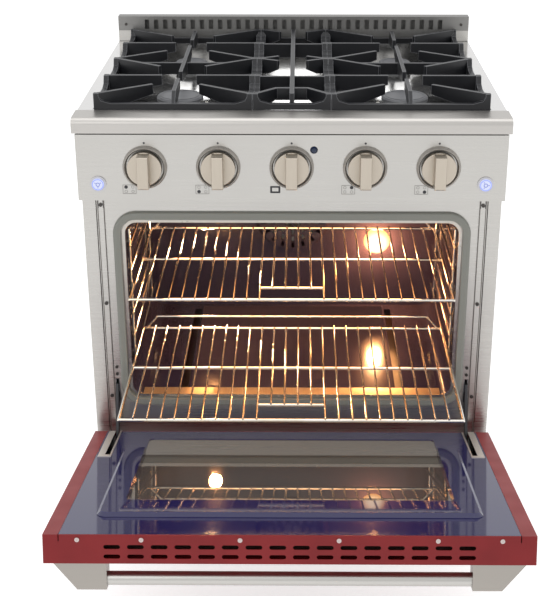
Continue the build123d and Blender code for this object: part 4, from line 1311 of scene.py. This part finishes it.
@dataclass
class MouthTrim:
    """Bright steel ring that lines the oven mouth inside the seal, with a wider sill below.

    Attributes:
        seal: Width of the seal.
        gap: Play between the ring and the enamelled wall.
        sheet: Thickness of the ring's steel.
        depth: How far the ring reaches into the oven.
        corner: Radius of the ring's outer corners.
        lip: Width of the ring's face.
        lip_corner: Radius of the face's inner corners.
        proud: How far the face stands in front of the frame, behind the shut door's ridge.
        sill: How far the sill reaches in over the floor.
        sill_sheet: Thickness of the sill's steel.
        sill_end: From the ring's side to the sill's end.
        sill_lift: How far the sill's front edge stands over the seal.
        sill_lie: Gap under the sill where it lies over the floor.
    """

    seal: float = 15.0
    gap: float = 0.4
    sheet: float = 0.9
    depth: float = 13.0
    corner: float = 27.9
    lip: float = 6.0
    lip_corner: float = 22.0
    proud: float = 0.6
    sill: float = 34.0
    sill_sheet: float = 1.0
    sill_end: float = 24.0
    sill_lift: float = 0.6
    sill_lie: float = 0.4

    def build(self) -> None:
        """Bend the ring and the sill."""
        low, high = span("oven_gasket")
        front = span("front_frame")[0].y
        half = (high.x - self.seal - self.gap, (high.z - low.z) / 2 - self.seal - self.gap)
        self.bend_ring(half, (0.0, (high.z + low.z) / 2), front)
        self.bend_sill(half[0] - self.sill_end, low.z + self.seal + self.sill_lift, front)

    def bend_ring(self, half: Point, centre: Point, front: float) -> None:
        """Bend the ring.

        Args:
            half: Half of its width and half of its height.
            centre: Its middle, as (x, z).
            front: Where the frame's face is.
        """
        def inset(width: float, radius: float) -> list[Point]:
            """Return the ring's outline drawn in by a width."""
            return rounded((half[0] - width, half[1] - width), centre, radius, 12)

        outline = inset(0.0, self.corner)
        wall = inset(self.sheet, self.corner - self.sheet)
        lip = inset(self.lip, self.lip_corner)
        face, back = front - self.proud, front + self.depth
        rows = [(outline, face), (outline, back), (wall, back), (wall, face + 2 * self.sheet),
                (lip, face + self.sheet), (lip, face)]
        ring = Fitting("mouth_trim", TRIM_STEEL, "polished_stainless")
        ring.skin([[Vector((x, y, z)) for x, z in line] for line, y in rows], closed=True)
        ring.build()

    def bend_sill(self, end: float, foot: float, front: float) -> None:
        """Bend the sill, which climbs from the seal to the oven's floor.

        Args:
            end: Half of its length.
            foot: Height of its front edge's underside.
            front: Where the frame's face is.
        """
        floor = span("oven_floor_panel")[1].z + self.sill_lie
        under = [(front + self.sill_sheet, foot), (front + self.depth, floor),
                 (front + self.sill, floor)]
        side = [(y, z + self.sill_sheet) for y, z in under] + under[::-1]
        # The sill's straw colour is a painted reflection of the oven lamps' warm light.
        sill = Fitting("mouth_sill", WARM_LIT_SILL_STEEL, "polished_stainless")
        sill.skin([[Vector((x, y, z)) for y, z in side] for x in (-end, end)])
        sill.build()


@dataclass
class SlotBaffles:
    """Enamelled troughs under the two slots of the oven floor, which spread the burner's heat.

    Attributes:
        edge: From the floor panel's side to a slot's near side.
        width: Width of a slot.
        lap: How far a trough reaches past its slot on each side.
        depth: Depth of a trough.
        sheet: Thickness of its steel.
        hang: How far its top edge hangs under the panel.
        ends: From the panel's front and back edge to the trough's ends.
    """

    edge: float = 4.0
    width: float = 14.0
    lap: float = 5.0
    depth: float = 16.0
    sheet: float = 1.0
    hang: float = 1.7
    ends: Point = (18.0, 5.0)

    def build(self) -> None:
        """Fold a trough for each slot and close its ends."""
        low, high = span("oven_floor_panel")
        top = low.z - self.hang
        floor = top - self.depth
        near = high.x + self.edge - self.lap
        far = near + self.width + 2 * self.lap
        cap = [(near, top), (near, floor), (far, floor), (far, top)]
        inside = [(far - self.sheet, top), (far - self.sheet, floor + self.sheet),
                  (near + self.sheet, floor + self.sheet), (near + self.sheet, top)]
        front, back = low.y + self.ends[0], high.y - self.ends[1]
        walls = ((cap + inside, front, back), (cap, front - self.sheet, front),
                 (cap, back, back + self.sheet))
        # The troughs' dark enamel is painted shade in the slots.
        baffles = Fitting("slot_baffles", SLOT_SHADE_ENAMEL, "cavity_enamel")
        for side in (-1, 1):
            for outline, start, end in walls:
                baffles.plate([(side * x, z) for x, z in outline], (start, end))
        baffles.build()


@dataclass
class StripEdges:
    """Rolled edges of the trim strips beside the oven mouth, dark as painted shadow lines, and the
    clips on their upper ends.

    Attributes:
        reach: From the frame's side to the middle of a strip.
        clip: Half of a clip's width and height.
        fall: From the frame's top to the middle of a clip.
        leg: Width of a clip's legs.
        sheet: Thickness of a clip.
        offset: From the middle of a strip to its beads.
        width: Width of a bead.
        corner: Radius of a bead's corners.
        rise: Height of a bead.
        short: How much shorter than half the frame half a bead is.
        lift: How far a bead's middle stands over the frame's.
    """

    reach: float = 7.5
    clip: Point = (5.2, 8.0)
    fall: float = 17.0
    leg: float = 1.4
    sheet: float = 0.5
    offset: float = 5.4
    width: float = 1.5
    corner: float = 0.6
    rise: float = 0.6
    short: float = 18.0
    lift: float = 13.0

    def build(self) -> None:
        """Hook a clip over each strip's upper end and roll its two beads."""
        front = span("trim_strips")[0].y
        low, high = span("front_frame")
        width, height = self.clip
        inner, under = width - self.leg, height - self.leg
        bend = [(-width, -height), (-width, height), (width, height), (width, -height),
                (inner, -height), (inner, under), (-inner, under), (-inner, -height)]
        half = (self.width / 2, (high.z - low.z) / 2 - self.short)
        middle_z = (high.z + low.z) / 2 + self.lift
        clips = Fitting("strip_clips", FINISHES["dark_steel"], "dark_steel")
        # The beads' dark steel is painted shadow along the strips' edges.
        beads = Fitting("strip_shadow_beads", SHADOW_BEAD_STEEL, "brushed_stainless")
        for side in (-1, 1):
            x, z = side * (high.x - self.reach), high.z - self.fall
            clips.plate([(x + right, z + up) for right, up in bend],
                        (front - self.sheet, front + SINK))
            for offset in (-self.offset, self.offset):
                beads.plate(rounded(half, (x + offset, middle_z), self.corner, 3),
                            (front - self.rise, front + SINK))
        clips.build()
        beads.build()


@dataclass
class RearScrews:
    """Flanged hexagon screws round the edge of the rear panel.

    Attributes:
        inset: From the panel's edge to a screw.
        columns: Screws along the top and the bottom.
        rows: Screws up each side.
        flange: Profile of a flange, as (radius, height).
        head: Profile of a head, as (radius, height).
    """

    inset: float = 14.0
    columns: int = 4
    rows: int = 5
    flange: Sequence[Point] = ((0.01, -0.1), (5.6, -0.1), (5.6, 0.7), (4.4, 1.1), (0.01, 1.1))
    head: Sequence[Point] = ((0.01, 1.0), (4.2, 1.0), (4.2, 3.2), (3.4, 3.7), (0.01, 3.7))

    def build(self) -> None:
        """Drive the screws into the panel's four edges."""
        low, high = span("rear_panel")
        left, right = low.x + self.inset, high.x - self.inset
        bottom, top = low.z + self.inset, high.z - self.inset
        places = []
        for i in range(self.columns):
            x = left + (right - left) * i / (self.columns - 1)
            places += [(x, bottom), (x, top)]
        for i in range(1, self.rows - 1):
            z = bottom + (top - bottom) * i / (self.rows - 1)
            places += [(left, z), (right, z)]
        back = Vector((0, 1, 0))
        screws = Fitting("rear_screws", FINISHES["galvanised_sheet"], "galvanised_sheet")
        for x, z in places:
            foot = Vector((x, high.y, z))
            screws.turned(self.flange, foot, back, 20)
            screws.turned(self.head, foot, back, 6)
        screws.build()


@dataclass
class BurnerFittings:
    """Spark electrodes beside the burners and the stepped ring pressed into each cap.

    Attributes:
        caps: Radius of a front cap and of a rear cap.
        ring: Profile of a cap's ring, as (radius less the cap's, height over the cap).
        sleeve: Profile of an electrode's ceramic sleeve, as (radius, height).
        tip: Profile of its steel tip, as (radius, height).
        aside: From a cap's edge outwards to its electrode.
        ahead: From a cap's axis forwards to its electrode.
        sheet: Thickness of the pan that the electrodes stand on.
    """

    caps: Point = (43.5, 33.0)
    ring: Sequence[Point] = ((-9.0, -0.5), (-7.6, -0.5), (-7.6, 0.7), (-9.0, 0.7))
    sleeve: Sequence[Point] = ((0.9, 0.0), (3.2, 0.0), (3.2, 9.5), (2.4, 10.5), (0.9, 10.5))
    tip: Sequence[Point] = ((0.01, 0.0), (0.85, 0.0), (0.85, 14.5), (0.01, 15.0))
    aside: float = 7.0
    ahead: float = 12.0
    sheet: float = 1.5

    def build(self) -> None:
        """Set an electrode and a cap ring at each of the four burners."""
        low, high = span("burner_caps")
        floor = span("cooktop_pan")[0].z + self.sheet
        rings = Fitting("burner_cap_rings", FINISHES["burner_cap_enamel"], "burner_cap_enamel")
        sleeves = Fitting("electrode_sleeves", CERAMIC, "gasket_fibre")
        tips = Fitting("electrode_tips", FINISHES["chrome_wire"], "chrome_wire")
        front, rear = self.caps
        upright = Vector((0, 0, 1))
        for side in (-1, 1):
            for y, radius in ((low.y + front, front), (high.y - rear, rear)):
                x = side * (high.x - front)
                rings.turned([(radius + out, up) for out, up in self.ring],
                             Vector((x, y, high.z)), upright, 56)
                foot = Vector((x - side * (radius + self.aside), y - self.ahead, floor))
                sleeves.turned(self.sleeve, foot, upright, 20)
                tips.turned(self.tip, foot, upright, 12)
        rings.build()
        sleeves.build()
        tips.build()


def main() -> None:
    """Build the studio, dress the solids and add the fittings."""
    Camera().build()
    Studio().build()
    Dressing(OVERRIDES).build()
    GrateEdges().build()
    PanelMarks().build()
    ButtonLights().build()
    MouthTrim().build()
    SlotBaffles().build()
    StripEdges().build()
    RearScrews().build()
    BurnerFittings().build()
    OvenLight().build()


if __name__ == "__main__":
    main()
